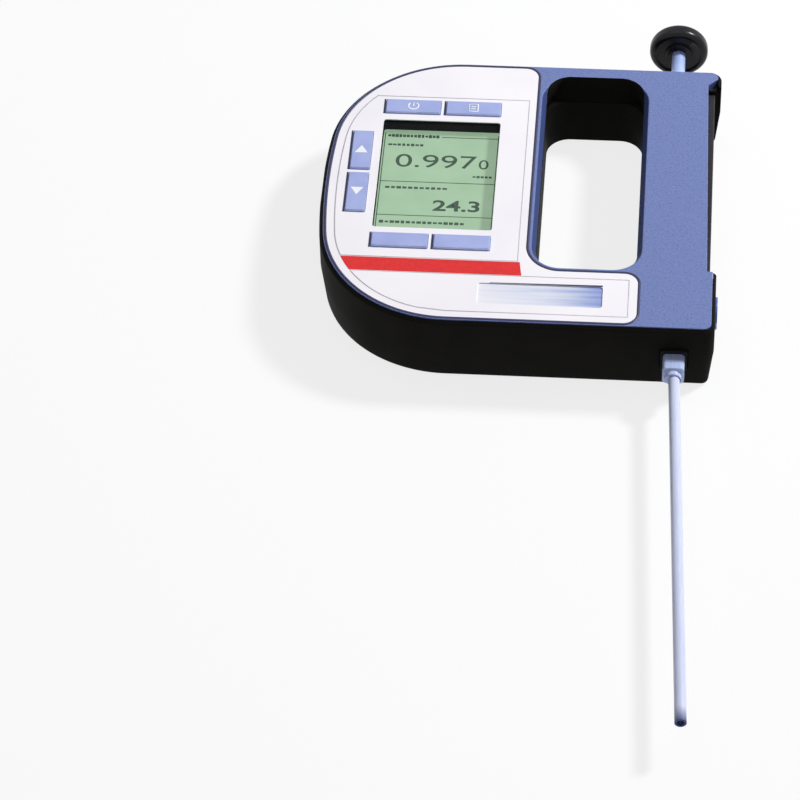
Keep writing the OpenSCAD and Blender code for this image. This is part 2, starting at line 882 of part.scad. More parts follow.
module battery_bay() {
    half = [bay_w / 2, bay_l / 2];
    low = bay_c - half;
    high = bay_c + half;
    margin = [bay_wall, bay_wall];
    rim = [hatch_margin + bay_wall, hatch_tab + bay_wall];
    plate(foot_z, bay_top + bay_roof)
        round_rect(low - margin, high + margin, bay_wall);
    plate(foot_z, hatch_t + hatch_seal_t + bay_wall)
        round_rect(low - rim, high + rim, hatch_r + bay_wall);
    for (at = hatch_screws)
        translate([at[0], at[1], foot_z])
            cylinder(d = hatch_post_d, h = hatch_post_top - foot_z);
}

module battery_bay_cut() {
    half = [bay_w / 2, bay_l / 2];
    plate(-over, bay_top)
        round_rect(bay_c - half, bay_c + half, bay_wall / 2);
    half_hatch = [hatch_w / 2 + play, hatch_l / 2 + play];
    plate(-over, hatch_t)
        round_rect(bay_c - half_hatch, bay_c + half_hatch, hatch_r + play);
    seal_half = half + [hatch_margin - play, hatch_margin - play];
    plate(-over, hatch_t + hatch_seal_t)
        round_rect(bay_c - seal_half, bay_c + seal_half, hatch_seal_r);
    for (at = hatch_screws)
        translate([at[0], at[1], 0])
            cylinder(d = screw_d + 2 * slack, h = hatch_screw_l + tip_room);
}

module rear_case() {
    color(BLACK)
        difference() {
            union() {
                difference() {
                    case_shell();
                    plate(floor_t, case_d + over)
                        inside_plan(0);
                    plate(seat_z, case_d + over)
                        d_plan(cover_inset - play);
                }
                intersection() {
                    union() {
                        case_posts();
                        battery_bay();
                    }
                    plate(foot_z, case_d)
                        d_plan(wall / 2);
                }
                flank_bosses();
            }
            plate(-over, case_d + over)
                grip_plan(0);
            plate(lip_z - play, case_d + over)
                lip_plan(lip_side, play);
            recess_cut();
            battery_bay_cut();
            for (at = case_screws_at)
                translate([at[0], at[1], -over]) {
                    cylinder(d = screw_d + 2 * screw_room, h = case_d);
                    cylinder(d = screw_head_d + 2 * screw_room, h = screw_sink + screw_head_t + over);
                }
            for (at = board_posts)
                translate([at[0], at[1], board_top - board_screw_l - over])
                    cylinder(d = board_screw_d + 2 * slack, h = board_screw_l + over);
            bar_y(pump_x, pump_z, barrel_y0, barrel_y1, barrel_d + 2 * play);
            bar_y(pump_x, pump_z, barrel_y1, half_h + over, bush_d + 2 * slack);
            inlet_cut();
        }
}

// Where the trigger sits, with the window for its nose, and the step in the handle side
module recess_cut() {
    translate([recess_x, recess_y0, floor_t])
        cube([recess_depth + over, recess_l, case_d]);
    translate([trigger_x1, recess_y0, -over])
        cube([trigger_sink + over, recess_l, case_d]);
    window_low = nose_low - nose_rate * (recess_x + nose_move - lock_tip_x) - clear;
    translate([recess_x - recess_wall - over, window_low, pump_z - nose_w / 2 - nose_room])
        cube([recess_wall + 2 * over, nose_top + trigger_gap - window_low, nose_w + 2 * nose_room]);
    translate([pivot[0], pivot[1], foot_z])
        cylinder(d = trigger_pin_d + 2 * slack, h = case_d);
    translate([lock_pivot[0], lock_pivot[1], foot_z])
        cylinder(d = lock_pin_d + 2 * slack, h = case_d);
}

// Bosses behind the screw plug and the retaining screw
module flank_bosses() {
    bar_x(plug_at[0], plug_at[1], boss_x, half_w - wall / 2, plug_d);
    bar_x(lock_screw_at[0], lock_screw_at[1], boss_x, half_w - wall / 2, lock_screw_d);
}

module inlet_cut() {
    hole = collar_w + 2 * play;
    translate([inlet_x - hole / 2, -half_h - over, inlet_z - hole / 2])
        cube([hole, collar_in + over, hole]);
    bar_y(inlet_x, inlet_z, -half_h, spigot_end + over, spigot_d + 4 * slack);
    bar_x(plug_at[0], plug_at[1], boss_x + boss_end, half_w + over, plug_body_d + 2 * slack);
    bar_x(plug_at[0], plug_at[1], half_w - plug_head_t - plug_seal_t, half_w + over, plug_d + 2 * play);
    screw_end = half_w - lock_screw_l - tip_room;
    bar_x(lock_screw_at[0], lock_screw_at[1], screw_end, half_w + over, screw_d + 2 * slack);
    bar_x(lock_screw_at[0], lock_screw_at[1], half_w - screw_head_t, half_w + over, lock_screw_d + 2 * play);
}

module front_cover() {
    color(BLUE)
        difference() {
            union() {
                plate(cover_z, case_d)
                    d_plan(cover_inset);
                plate(lip_z, cover_z)
                    lip_plan(lip_side - play, 0);
                for (at = case_screws_at)
                    translate([at[0], at[1], post_top])
                        cylinder(d = post_d, h = cover_z - post_top);
            }
            plate(lip_z - over, case_d + over)
                grip_plan(0);
            grip_bevel_cut();
            bridge_slope_cut();
            plate(label_z, case_d + over)
                label_plan(-label_gap);
            plate(cover_z - over, case_d + over)
                for (at = keys_at)
                    key_plan(at, play);
            plate(cover_z - over, case_d + over)
                display_plan(lcd_frame_wall + play);
            plate(pane_z, case_d + over)
                display_plan(lcd_frame_wall + pane_ledge);
            plate(cover_z - over, case_d + over)
                window_plan(0);
            plate(pane_z, case_d + over)
                window_plan(pane_ledge);
            plate(cover_z - over, case_d + over)
                polygon([
                    [half_w - cut_back_top, recess_y1], [half_w + over, recess_y1 + cut_back_top + over],
                    [half_w + over, recess_y0], [half_w - cut_back_low, recess_y0],
                ]);
            for (at = case_screws_at)
                translate([at[0], at[1], post_top - over])
                    cylinder(d = screw_d + 2 * slack, h = screw_tip + tip_room - post_top + over);
        }
}

module front_label() {
    color("#f8f6fb")
        difference() {
            plate(label_z, case_d)
                label_plan(0);
            plate(label_z - over, case_d + over) {
                display_plan(0);
                window_plan(0);
                for (at = keys_at)
                    key_plan(at, play);
            }
        }
}

module case_gasket() {
    color("#2a2a2e")
        plate(seat_z, cover_z)
            difference() {
                inside_plan(gasket_w);
                inside_plan(0);
            }
}

module case_screws() {
    color(STEEL)
        for (at = case_screws_at)
            translate([at[0], at[1], screw_sink + screw_head_t])
                screw(screw_tip - screw_sink - screw_head_t);
}

// Battery compartment

module battery_cover() {
    half = [hatch_w / 2, hatch_l / 2];
    color(BLACK)
        difference() {
            plate(0, hatch_t)
                round_rect(bay_c - half, bay_c + half, hatch_r);
            for (at = hatch_screws)
                translate([at[0], at[1], -over]) {
                    cylinder(d = screw_d + 2 * screw_room, h = hatch_t + 2 * over);
                    cylinder(d = screw_head_d + 2 * screw_room, h = hatch_head_t + over);
                }
            plate(-over, hatch_t / 2)
                for (i = [-hatch_ribs:hatch_ribs])
                    translate([bay_c[0] - bay_w / 4, bay_c[1] + i * hatch_rib_pitch - hatch_rib / 2])
                        square([bay_w / 2, hatch_rib]);
        }
}

module battery_cover_seal() {
    half = [bay_w / 2, bay_l / 2];
    outer = half + [hatch_margin - 2 * play, hatch_margin - 2 * play];
    color("#2a2a2e")
        plate(hatch_t, hatch_t + hatch_seal_t)
            difference() {
                round_rect(bay_c - outer, bay_c + outer, hatch_seal_r - play);
                round_rect(bay_c - half, bay_c + half, bay_wall / 2);
            }
}

module battery_cover_screws() {
    slot = 0.7;
    color(STEEL)
        for (at = hatch_screws)
            translate([at[0], at[1], 0])
                difference() {
                    union() {
                        cylinder(d = screw_head_d, h = hatch_head_t);
                        cylinder(d = screw_d, h = hatch_screw_l);
                    }
                    translate([-screw_head_d, -slot / 2, -over])
                        cube([2 * screw_head_d, slot, hatch_head_t / 2 + over]);
                }
}

module batteries() {
    nub_d = 5.5;
    nub_l = 1;
    color("#8b5a2b")
        for (s = [-1, 1])
            translate([bay_c[0] + s * battery_pitch / 2, bay_c[1], battery_z])
                rotate([s * 90, 0, 0])
                    translate([0, 0, -battery_l / 2]) {
                        cylinder(d = battery_d, h = battery_l - nub_l);
                        cylinder(d = nub_d, h = battery_l);
                    }
}

module battery_contacts() {
    plate_t = 0.4;
    plate_w = 10;
    bump_d = 4;
    color("#c9b458")
        for (s = [-1, 1], e = [-1, 1])
            translate([bay_c[0] + s * battery_pitch / 2, bay_c[1] + e * bay_l / 2, battery_z])
                rotate([e * 90, 0, 0]) {
                    translate([-plate_w / 2, -plate_w / 2, 0])
                        cube([plate_w, plate_w, plate_t]);
                    cylinder(d = bump_d, h = contact_room - slack);
                }
}

// Electronics

module main_board() {
    half = [board_w / 2, board_h / 2];
    color("#1f5c35")
        difference() {
            plate(board_z, board_top)
                intersection() {
                    round_rect(board_c - half, board_c + half, board_r);
                    d_plan(wall + over);
                }
            for (at = board_posts)
                translate([at[0], at[1], board_z - over])
                    cylinder(d = board_screw_d + 2 * play, h = board_t + 2 * over);
        }
}

module board_screws() {
    color(STEEL)
        for (at = board_posts)
            translate([at[0], at[1], board_top]) {
                cylinder(d = board_screw_head_d, h = board_screw_head_t);
                translate([0, 0, -board_screw_l])
                    cylinder(d = board_screw_d, h = board_screw_l + board_screw_head_t / 2);
            }
}

module lcd_panel() {
    color("#aec8ae")
        plate(board_top, lcd_top)
            display_plan(lcd_frame_wall);
}

module lcd_frame() {
    color(BLACK)
        plate(lcd_top, pane_z)
            difference() {
                display_plan(lcd_frame_wall);
                display_plan(0);
            }
}

module display_window() {
    color([0.85, 0.9, 0.95, 0.35])
        plate(pane_z, label_z)
            display_plan(lcd_frame_wall + pane_ledge - play);
}

module keypad_mat() {
    side = key_short / 2 + mat_edge;
    low = [key_side_x - side, key_low_y - side];
    high = [display_x + display_w / 2 + 2 * mat_edge, key_top_y + side];
    color("#3a3d44") {
        plate(board_top, board_top + mat_t)
            difference() {
                intersection() {
                    round_rect(low, high, board_r);
                    d_plan(wall + over);
                }
                display_plan(lcd_frame_wall + 2 * play);
                for (at = board_posts)
                    translate(at)
                        circle(d = board_screw_head_d + 2 * play);
            }
        plate(board_top + mat_t, mat_top)
            for (at = keys_at)
                key_plan(at, -mat_edge);
    }
}

// A key: its cap, and the collar that keeps it behind the cover
module key(at) {
    top = case_d + key_raise;
    color("#a0ace1") {
        plate(key_bottom, top - key_crown)
            key_plan(at, 0);
        plate(top - key_crown, top)
            key_plan(at, -key_crown);
        plate(key_bottom, cover_z)
            key_plan(at, key_collar);
    }
}

module key_power() {
    key(key_power_at);
}

module key_light() {
    key(key_light_at);
}

module key_up() {
    key(key_up_at);
}

module key_down() {
    key(key_down_at);
}

module key_left() {
    key(key_left_at);
}

module key_right() {
    key(key_right_at);
}

// Measuring cell

module cell_window() {
    color([0.8, 0.88, 0.98, 0.35])
        plate(pane_z, label_z)
            window_plan(pane_ledge - play);
}

module cell_block() {
    color("#8f949c")
        difference() {
            translate([block_x0, u_tube_y - block_h / 2, block_z])
                cube([block_w, block_h, block_t]);
            translate([block_x0 + trough_wall, u_tube_y - trough_half, trough_floor])
                cube([block_w - trough_wall - clamp_l, 2 * trough_half, block_t]);
            for (y = [leg_in_y, leg_out_y])
                bar_x(y, u_tube_z, block_x1 - clamp_l - over, block_x1 + over, u_tube_d + 2 * slack);
            bar_x(u_tube_y, sensor_z, block_x0 - over, block_x0 + sensor_in + tip_room, sensor_d + 2 * slack);
        }
}

module u_tube() {
    color([0.75, 0.85, 0.95, 0.6]) {
        for (y = [leg_in_y, leg_out_y])
            difference() {
                bar_x(y, u_tube_z, bend_x, leg_end_x, u_tube_d);
                bar_x(y, u_tube_z, bend_x - over, leg_end_x + over, u_tube_bore);
            }
        translate([bend_x, u_tube_y, u_tube_z])
            rotate([0, 0, 90])
                rotate_extrude(angle = 180)
                    translate([u_tube_gap / 2, 0])
                        difference() {
                            circle(d = u_tube_d);
                            circle(d = u_tube_bore);
                        }
    }
}

module drive_magnet() {
    color(STEEL)
        translate([apex_x, u_tube_y, u_tube_z - u_tube_d / 2 - magnet_l])
            cylinder(d = magnet_d, h = magnet_l);
}

module drive_coil() {
    color("#b06a33")
        translate([apex_x, u_tube_y, trough_floor])
            difference() {
                cylinder(d = coil_d, h = coil_t);
                translate([0, 0, -over])
                    cylinder(d = magnet_d + 2 * coil_gap, h = coil_t + 2 * over);
            }
}

module cell_backlight() {
    x0 = apex_x + coil_d / 2 + light_edge;
    x1 = block_x1 - clamp_l - light_edge;
    half = trough_half - clear;
    color("#dfe8ff")
        translate([x0, u_tube_y - half, trough_floor])
            cube([x1 - x0, 2 * half, light_t]);
}

module temperature_sensor() {
    color(STEEL)
        bar_x(u_tube_y, sensor_z, block_x0 - sensor_out, block_x0 + sensor_in, sensor_d);
}

// Inlet and hoses

module inlet_collar() {
    low_y = -half_h - collar_out;
    color("#3b3b40")
        difference() {
            translate([inlet_x - collar_w / 2, low_y, inlet_z - collar_w / 2])
                cube([collar_w, collar_in + collar_out, collar_w]);
            bar_y(inlet_x, inlet_z, low_y - over, collar_in + over - half_h, spigot_d + 2 * slack);
        }
}

// Moves its children to the inlet, with +Z out along the leaning filling tube
module at_inlet() {
    translate([inlet_x, -half_h - collar_out, inlet_z])
        rotate([90, 0, 0])
            rotate([0, fill_lean, 0])
                children();
}

module tube_fitting() {
    half = fitting_w / 2;
    out_y = -half_h - collar_out;
    body_l = fitting_l - nose_l;
    color([0.4, 0.5, 0.8, 0.8])
        difference() {
            union() {
                translate([inlet_x, out_y, inlet_z])
                    rotate([90, 0, 0]) {
                        linear_extrude(body_l)
                            round_rect([-half, -half], [half, half], fitting_r);
                        translate([0, 0, body_l])
                            cylinder(d1 = fitting_w - fitting_r, d2 = fill_d + 2 * nose_wall, h = nose_l);
                    }
                bar_y(inlet_x, inlet_z, out_y - fitting_root, spigot_end, spigot_d);
            }
            bar_y(inlet_x, inlet_z, out_y - tube_start, spigot_end + over, hose_bore);
            at_inlet()
                translate([0, 0, tube_seat])
                    cylinder(d = fill_d + 2 * slack, h = fitting_l + over);
        }
}

module filling_tube() {
    color([0.8, 0.84, 0.95, 0.8])
        at_inlet()
            translate([0, 0, tube_start])
                difference() {
                    cylinder(d = fill_d, h = fill_l - tube_start);
                    translate([0, 0, -over])
                        cylinder(d = fill_bore, h = fill_l + 2 * over);
                }
}

module inlet_hose() {
    drop_r = (u_tube_z - inlet_z - hose_mid) / 2;
    color([0.85, 0.87, 0.9, 0.8])
        translate([leg_end_x, leg_in_y, u_tube_z])
            hose_run(inlet_x - drop_r - leg_end_x, 0, hose_lap)
                rotate([-90, 0, 0])
                    hose_bend(drop_r)
                        hose_run(hose_mid, hose_lap, hose_lap)
                            rotate([-90, 0, 0])
                                hose_bend(drop_r)
                                    hose_run(leg_in_y - drop_r - spigot_end, hose_lap, 0);
}

module outlet_hose() {
    drop_r = (u_tube_z - pump_z - hose_mid) / 2;
    turn_y = barrel_y0 - nozzle_l - hose_last - 2 * drop_r;
    color([0.85, 0.87, 0.9, 0.8])
        translate([leg_end_x, leg_out_y, u_tube_z])
            hose_run(pump_x - hose_out_r - leg_end_x, 0, hose_lap)
                hose_bend(hose_out_r)
                    hose_run(turn_y - leg_out_y - hose_out_r, hose_lap, hose_lap)
                        rotate([-90, 0, 0])
                            hose_bend(drop_r)
                                hose_run(hose_mid, hose_lap, hose_lap)
                                    rotate([180, 0, 0])
                                        hose_bend(drop_r)
                                            hose_run(hose_last, hose_lap, 0);
}

module screw_plug() {
    head_x = half_w - plug_head_t;
    color("#6282cd")
        difference() {
            union() {
                bar_x(plug_at[0], plug_at[1], head_x, half_w + plug_out, plug_d);
                bar_x(plug_at[0], plug_at[1], boss_x + boss_end + tip_room, head_x + plug_root, plug_body_d);
            }
            translate([half_w + plug_out - slot_w, plug_at[0] - plug_d, plug_at[1] - slot_w / 2])
                cube([slot_w + over, 2 * plug_d, slot_w]);
        }
}

module plug_seal() {
    head_x = half_w - plug_head_t;
    color("#2a2a2e")
        difference() {
            bar_x(plug_at[0], plug_at[1], head_x - plug_seal_t, head_x, plug_d - 2 * plug_seal_edge);
            bar_x(plug_at[0], plug_at[1], boss_x, half_w + over, plug_body_d + 2 * slack);
        }
}

module retaining_screw() {
    color("#6282cd")
        difference() {
            union() {
                bar_x(lock_screw_at[0], lock_screw_at[1], half_w - screw_head_t, half_w, lock_screw_d);
                bar_x(lock_screw_at[0], lock_screw_at[1], half_w - lock_screw_l, half_w - plug_root, screw_d);
            }
            translate([half_w - slot_w / 2, lock_screw_at[0] - plug_d, lock_screw_at[1] - slot_w / 2])
                cube([slot_w + over, 2 * plug_d, slot_w]);
        }
}

// Pump

module pump_barrel() {
    color([0.86, 0.89, 0.93, 0.7])
        difference() {
            union() {
                bar_y(pump_x, pump_z, barrel_y0, barrel_y1, barrel_d);
                bar_y(pump_x, pump_z, barrel_y0 - nozzle_l, bore_y0, nozzle_d);
            }
            bar_y(pump_x, pump_z, bore_y0, barrel_y1 + over, barrel_bore);
            bar_y(pump_x, pump_z, barrel_y0 - nozzle_l - over, bore_y0 + over, hose_bore);
        }
}

module barrel_cap() {
    color("#55585f")
        difference() {
            union() {
                bar_y(pump_x, pump_z, barrel_y1 - cap_half, barrel_y1 + cap_half, barrel_bore - 2 * slack);
                bar_y(pump_x, pump_z, barrel_y1, barrel_y1 + cap_half, barrel_d);
            }
            bar_y(pump_x, pump_z, barrel_y1 - 2 * cap_half, barrel_y1 + 2 * cap_half, rod_d + 2 * run_gap);
        }
}

module pump_piston() {
    groove_half = (ring_d + ring_room) / 2;
    piston_d = barrel_bore - 2 * run_gap;
    color("#e8e6e0")
        difference() {
            bar_y(pump_x, pump_z, piston_y0, piston_y1, piston_d);
            difference() {
                bar_y(pump_x, pump_z, piston_mid - groove_half, piston_mid + groove_half, barrel_bore + over);
                bar_y(pump_x, pump_z, piston_y0, piston_y1, piston_d - 2 * (ring_d + ring_room));
            }
            bar_y(pump_x, pump_z, rod_seat, piston_y1 + over, rod_d + 2 * slack);
        }
}

module piston_ring() {
    color("#2a2a2e")
        translate([pump_x, piston_mid, pump_z])
            rotate([90, 0, 0])
                rotate_extrude()
                    translate([barrel_bore / 2 - run_gap - ring_d / 2, 0])
                        circle(d = ring_d);
}

module plunger_rod() {
    color(STEEL)
        bar_y(pump_x, pump_z, rod_seat, knob_y0 + knob_t - knob_cap, rod_d);
}

module pump_knob() {
    rim_r = knob_d / 2 - knob_rim;
    color("#101014")
        translate([pump_x, knob_y0, pump_z])
            rotate([-90, 0, 0])
                difference() {
                    rotate_extrude() {
                        square([rim_r, knob_t]);
                        translate([0, knob_rim])
                            square([knob_d / 2, knob_t - 2 * knob_rim]);
                        for (z = [knob_rim, knob_t - knob_rim])
                            translate([rim_r, z])
                                circle(r = knob_rim);
                    }
                    translate([0, 0, -over])
                        difference() {
                            cylinder(r = rim_r, h = knob_dish + over);
                            cylinder(r = rod_d / 2 + knob_hub, h = knob_t);
                        }
                    translate([0, 0, -over])
                        cylinder(d = rod_d + 2 * slack, h = knob_t - knob_cap + over);
                }
}

module pump_spring() {
    color(STEEL)
        translate([pump_x, piston_y0 - spring_end, pump_z])
            rotate([90, 0, 0])
                wire_coil(spring_r, piston_y0 - bore_y0 - 2 * spring_end, spring_wire, spring_turns);
}

module rod_bush() {
    color("#b79a4a")
        difference() {
            union() {
                bar_y(pump_x, pump_z, half_h - bush_in, half_h + bush_flange, bush_d);
                bar_y(pump_x, pump_z, half_h, half_h + bush_flange, bush_d + 2 * bush_flange);
            }
            bar_y(pump_x, pump_z, half_h - bush_in - over, half_h + bush_flange + over, rod_d + 2 * run_gap);
        }
}

// Rod lock and release trigger

module lock_plate() {
    color(STEEL)
        translate([lock_pivot[0], lock_pivot[1], pump_z - lock_w / 2])
            rotate([0, 0, lock_tilt])
                difference() {
                    translate([-lock_back, -lock_t / 2, 0])
                        cube([lock_reach + lock_back, lock_t, lock_w]);
                    translate([(pump_x - lock_pivot[0]) / cos(lock_tilt), 0, lock_w / 2])
                        rotate([90, 0, 0])
                            cylinder(d = lock_hole_d, h = 2 * lock_t, center = true);
                    translate([0, 0, -over])
                        cylinder(d = lock_pin_d + 2 * run_gap, h = lock_w + 2 * over);
                }
}

module lock_pin() {
    color(STEEL)
        translate([lock_pivot[0], lock_pivot[1], foot_z])
            cylinder(d = lock_pin_d, h = seat_z - foot_z);
}

module lock_spring() {
    color(STEEL)
        translate([pump_x, lock_spring_y, pump_z])
            rotate([-90, 0, 0])
                wire_coil(lock_spring_r, lock_spring_h, lock_spring_wire, lock_spring_turns);
}

module release_trigger() {
    color("#26262a")
        difference() {
            plate(trigger_z0, trigger_z1) {
                translate(pivot)
                    circle(r = pivot_r);
                translate([trigger_x0, pivot[1]])
                    square([trigger_t, trigger_top - pivot[1]]);
            }
            translate([pivot[0], pivot[1], 0])
                cylinder(d = trigger_pin_d + 2 * run_gap, h = case_d);
        }
    color("#26262a")
        plate(pump_z - nose_w / 2, pump_z + nose_w / 2)
            polygon([
                [nose_x0, nose_low - nose_rate * (nose_x0 - lock_tip_x)],
                [nose_root, nose_low - nose_rate * (nose_root - lock_tip_x)],
                [nose_root, nose_top],
                [nose_x0, nose_top],
            ]);
}

module trigger_pin() {
    color(STEEL)
        translate([pivot[0], pivot[1], foot_z])
            cylinder(d = trigger_pin_d, h = cover_z - foot_z);
}

module trigger_spring() {
    color(STEEL)
        plate(pump_z - leaf_w / 2, pump_z + leaf_w / 2)
            intersection() {
                translate([recess_x + leaf_bow - leaf_r, leaf_y])
                    difference() {
                        circle(r = leaf_r);
                        circle(r = leaf_r - leaf_t);
                    }
                translate([recess_x + slack, leaf_y - leaf_half])
                    square([leaf_bow + over, 2 * leaf_half]);
            }
}

rear_case();
front_cover();
front_label();
case_gasket();
case_screws();
battery_cover();
battery_cover_seal();
battery_cover_screws();
batteries();
battery_contacts();
main_board();
board_screws();
lcd_panel();
lcd_frame();
display_window();
keypad_mat();
key_power();
key_light();
key_up();
key_down();
key_left();
key_right();
cell_window();
cell_block();
u_tube();
drive_magnet();
drive_coil();
cell_backlight();
temperature_sensor();
inlet_collar();
tube_fitting();
filling_tube();
inlet_hose();
outlet_hose();
screw_plug();
plug_seal();
retaining_screw();
pump_barrel();
barrel_cap();
pump_piston();
piston_ring();
plunger_rod();
pump_knob();
pump_spring();
rod_bush();
lock_plate();
lock_pin();
lock_spring();
release_trigger();
trigger_pin();
trigger_spring();
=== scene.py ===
"""Looks of a portable density meter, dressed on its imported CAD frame.

Lengths that the classes hold and the functions take are millimetres in the frame of the part.
Meshes are metres, and so are the studio's sizes.
"""

import json
import logging
import math
from dataclasses import KW_ONLY, dataclass
from enum import Enum
from typing import Iterable, Sequence

import bmesh
import bpy
from mathutils import Matrix, Quaternion, Vector

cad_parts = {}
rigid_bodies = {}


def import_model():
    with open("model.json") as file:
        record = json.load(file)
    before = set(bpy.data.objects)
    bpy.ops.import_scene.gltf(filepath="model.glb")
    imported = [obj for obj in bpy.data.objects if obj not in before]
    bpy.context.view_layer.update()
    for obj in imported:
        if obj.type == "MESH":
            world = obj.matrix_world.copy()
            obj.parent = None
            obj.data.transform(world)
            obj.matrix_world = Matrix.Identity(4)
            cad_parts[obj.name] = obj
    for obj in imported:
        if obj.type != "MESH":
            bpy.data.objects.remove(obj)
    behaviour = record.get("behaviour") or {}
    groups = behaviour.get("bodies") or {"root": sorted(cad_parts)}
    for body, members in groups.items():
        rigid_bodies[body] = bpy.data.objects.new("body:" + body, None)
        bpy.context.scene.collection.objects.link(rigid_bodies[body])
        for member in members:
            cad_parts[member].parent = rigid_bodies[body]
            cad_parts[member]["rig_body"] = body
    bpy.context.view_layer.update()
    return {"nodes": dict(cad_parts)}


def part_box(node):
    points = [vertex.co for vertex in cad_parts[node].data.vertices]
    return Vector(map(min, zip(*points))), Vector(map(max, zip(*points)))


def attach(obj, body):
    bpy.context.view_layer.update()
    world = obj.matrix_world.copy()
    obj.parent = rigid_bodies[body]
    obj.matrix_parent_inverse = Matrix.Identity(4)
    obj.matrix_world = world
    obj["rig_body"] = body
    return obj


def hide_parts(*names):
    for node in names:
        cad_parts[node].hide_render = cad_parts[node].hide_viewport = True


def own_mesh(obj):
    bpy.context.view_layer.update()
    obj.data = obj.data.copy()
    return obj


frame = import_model()

Node = bpy.types.Node
Socket = bpy.types.NodeSocket
Mesh = bpy.types.Mesh
Object = bpy.types.Object
# What feeds an input: a node by its first output, or one of a node's outputs
Source = Node | Socket
Point = tuple[float, float]
Place = tuple[float, float, float]
Colour = tuple[float, float, float, float]

MM = 0.001
ROOT = "root"
WHITE = "#ffffff"
LOG = logging.getLogger("density_meter")
# Height of a print over the face that carries it, and how deep a printed patch sinks into that face
PRINT_T = 0.03
PRINT_SINK = 0.01
# Points of a CAD mesh that lie closer together than this become one
MERGE = 0.002
# In degrees, up to where faces count as one plane and from where an edge is rounded, and its steps
PLANE_ANGLE = 0.3
EDGE_ANGLE = 34.0
EDGE_STEPS = 2
# Upright part of a face's normal, at most on a steep face and at least on a level one
STEEP = 0.42
LEVEL = 0.9
# Faces this little under the highest point belong to the top
TOP_DEPTH = 0.01
# Octaves of the finer noise patterns
FINE = 3.0
# Bands of a wave texture at scale 1, on a length of pi
WAVE_BANDS = 10
# Half the width of a wide and of a hard step between two shades
WIDE_STEP = 0.2
HARD_STEP = 0.05


class Axis(Enum):
    """Axes that a pattern can run along."""

    X = "X"
    Y = "Y"
    Z = "Z"


class Symbol(Enum):
    """What is printed on a key."""

    BARE = "bare"
    POWER = "power"
    PAGE = "page"
    UP = "up"
    DOWN = "down"


def linear(code: str) -> Colour:
    """Turns a hex colour into linear light.

    Args:
        code: Colour as #rrggbb.

    Returns:
        Red, green, blue and alpha for a shader socket.
    """
    channels = [int(code[i:i + 2], 16) / 255 for i in (1, 3, 5)]
    light = [c / 12.92 if c <= 0.04045 else ((c + 0.055) / 1.055) ** 2.4 for c in channels]
    return light[0], light[1], light[2], 1.0


class NodeWork:
    """A node tree with short calls to add nodes and to set or link their inputs."""

    def __init__(self, tree: bpy.types.NodeTree) -> None:
        """Keeps the tree."""
        self.tree = tree

    def add(self, kind: str, **values: object) -> Node:
        """Adds a node.

        Args:
            kind: Node type.
            **values: Properties of the node, such as its mode.

        Returns:
            The new node.
        """
        node = self.tree.nodes.new(kind)
        for name, value in values.items():
            setattr(node, name, value)
        return node

    def fill(self, port: Socket, value: object) -> None:
        """Sets or links one input.

        Args:
            port: The input.
            value: Its value or its source.
        """
        if isinstance(value, Node):
            value = next(s for s in value.outputs if s.enabled)
        if isinstance(value, Socket):
            self.tree.links.new(value, port)
        else:
            port.default_value = value

    def put(self, node: Node, **values: object) -> None:
        """Sets or links inputs by name.

        Args:
            node: Node whose inputs they are.
            **values: Value or source of each, with the spaces in its name as underscores.
        """
        for name, value in values.items():
            title = name.replace("_", " ")
            self.fill(next(s for s in node.inputs if s.name == title and s.enabled), value)

    def put_in_order(self, node: Node, *values: object) -> None:
        """Sets or links a node's first inputs in their order, where names repeat."""
        for port, value in zip(node.inputs, values):
            self.fill(port, value)


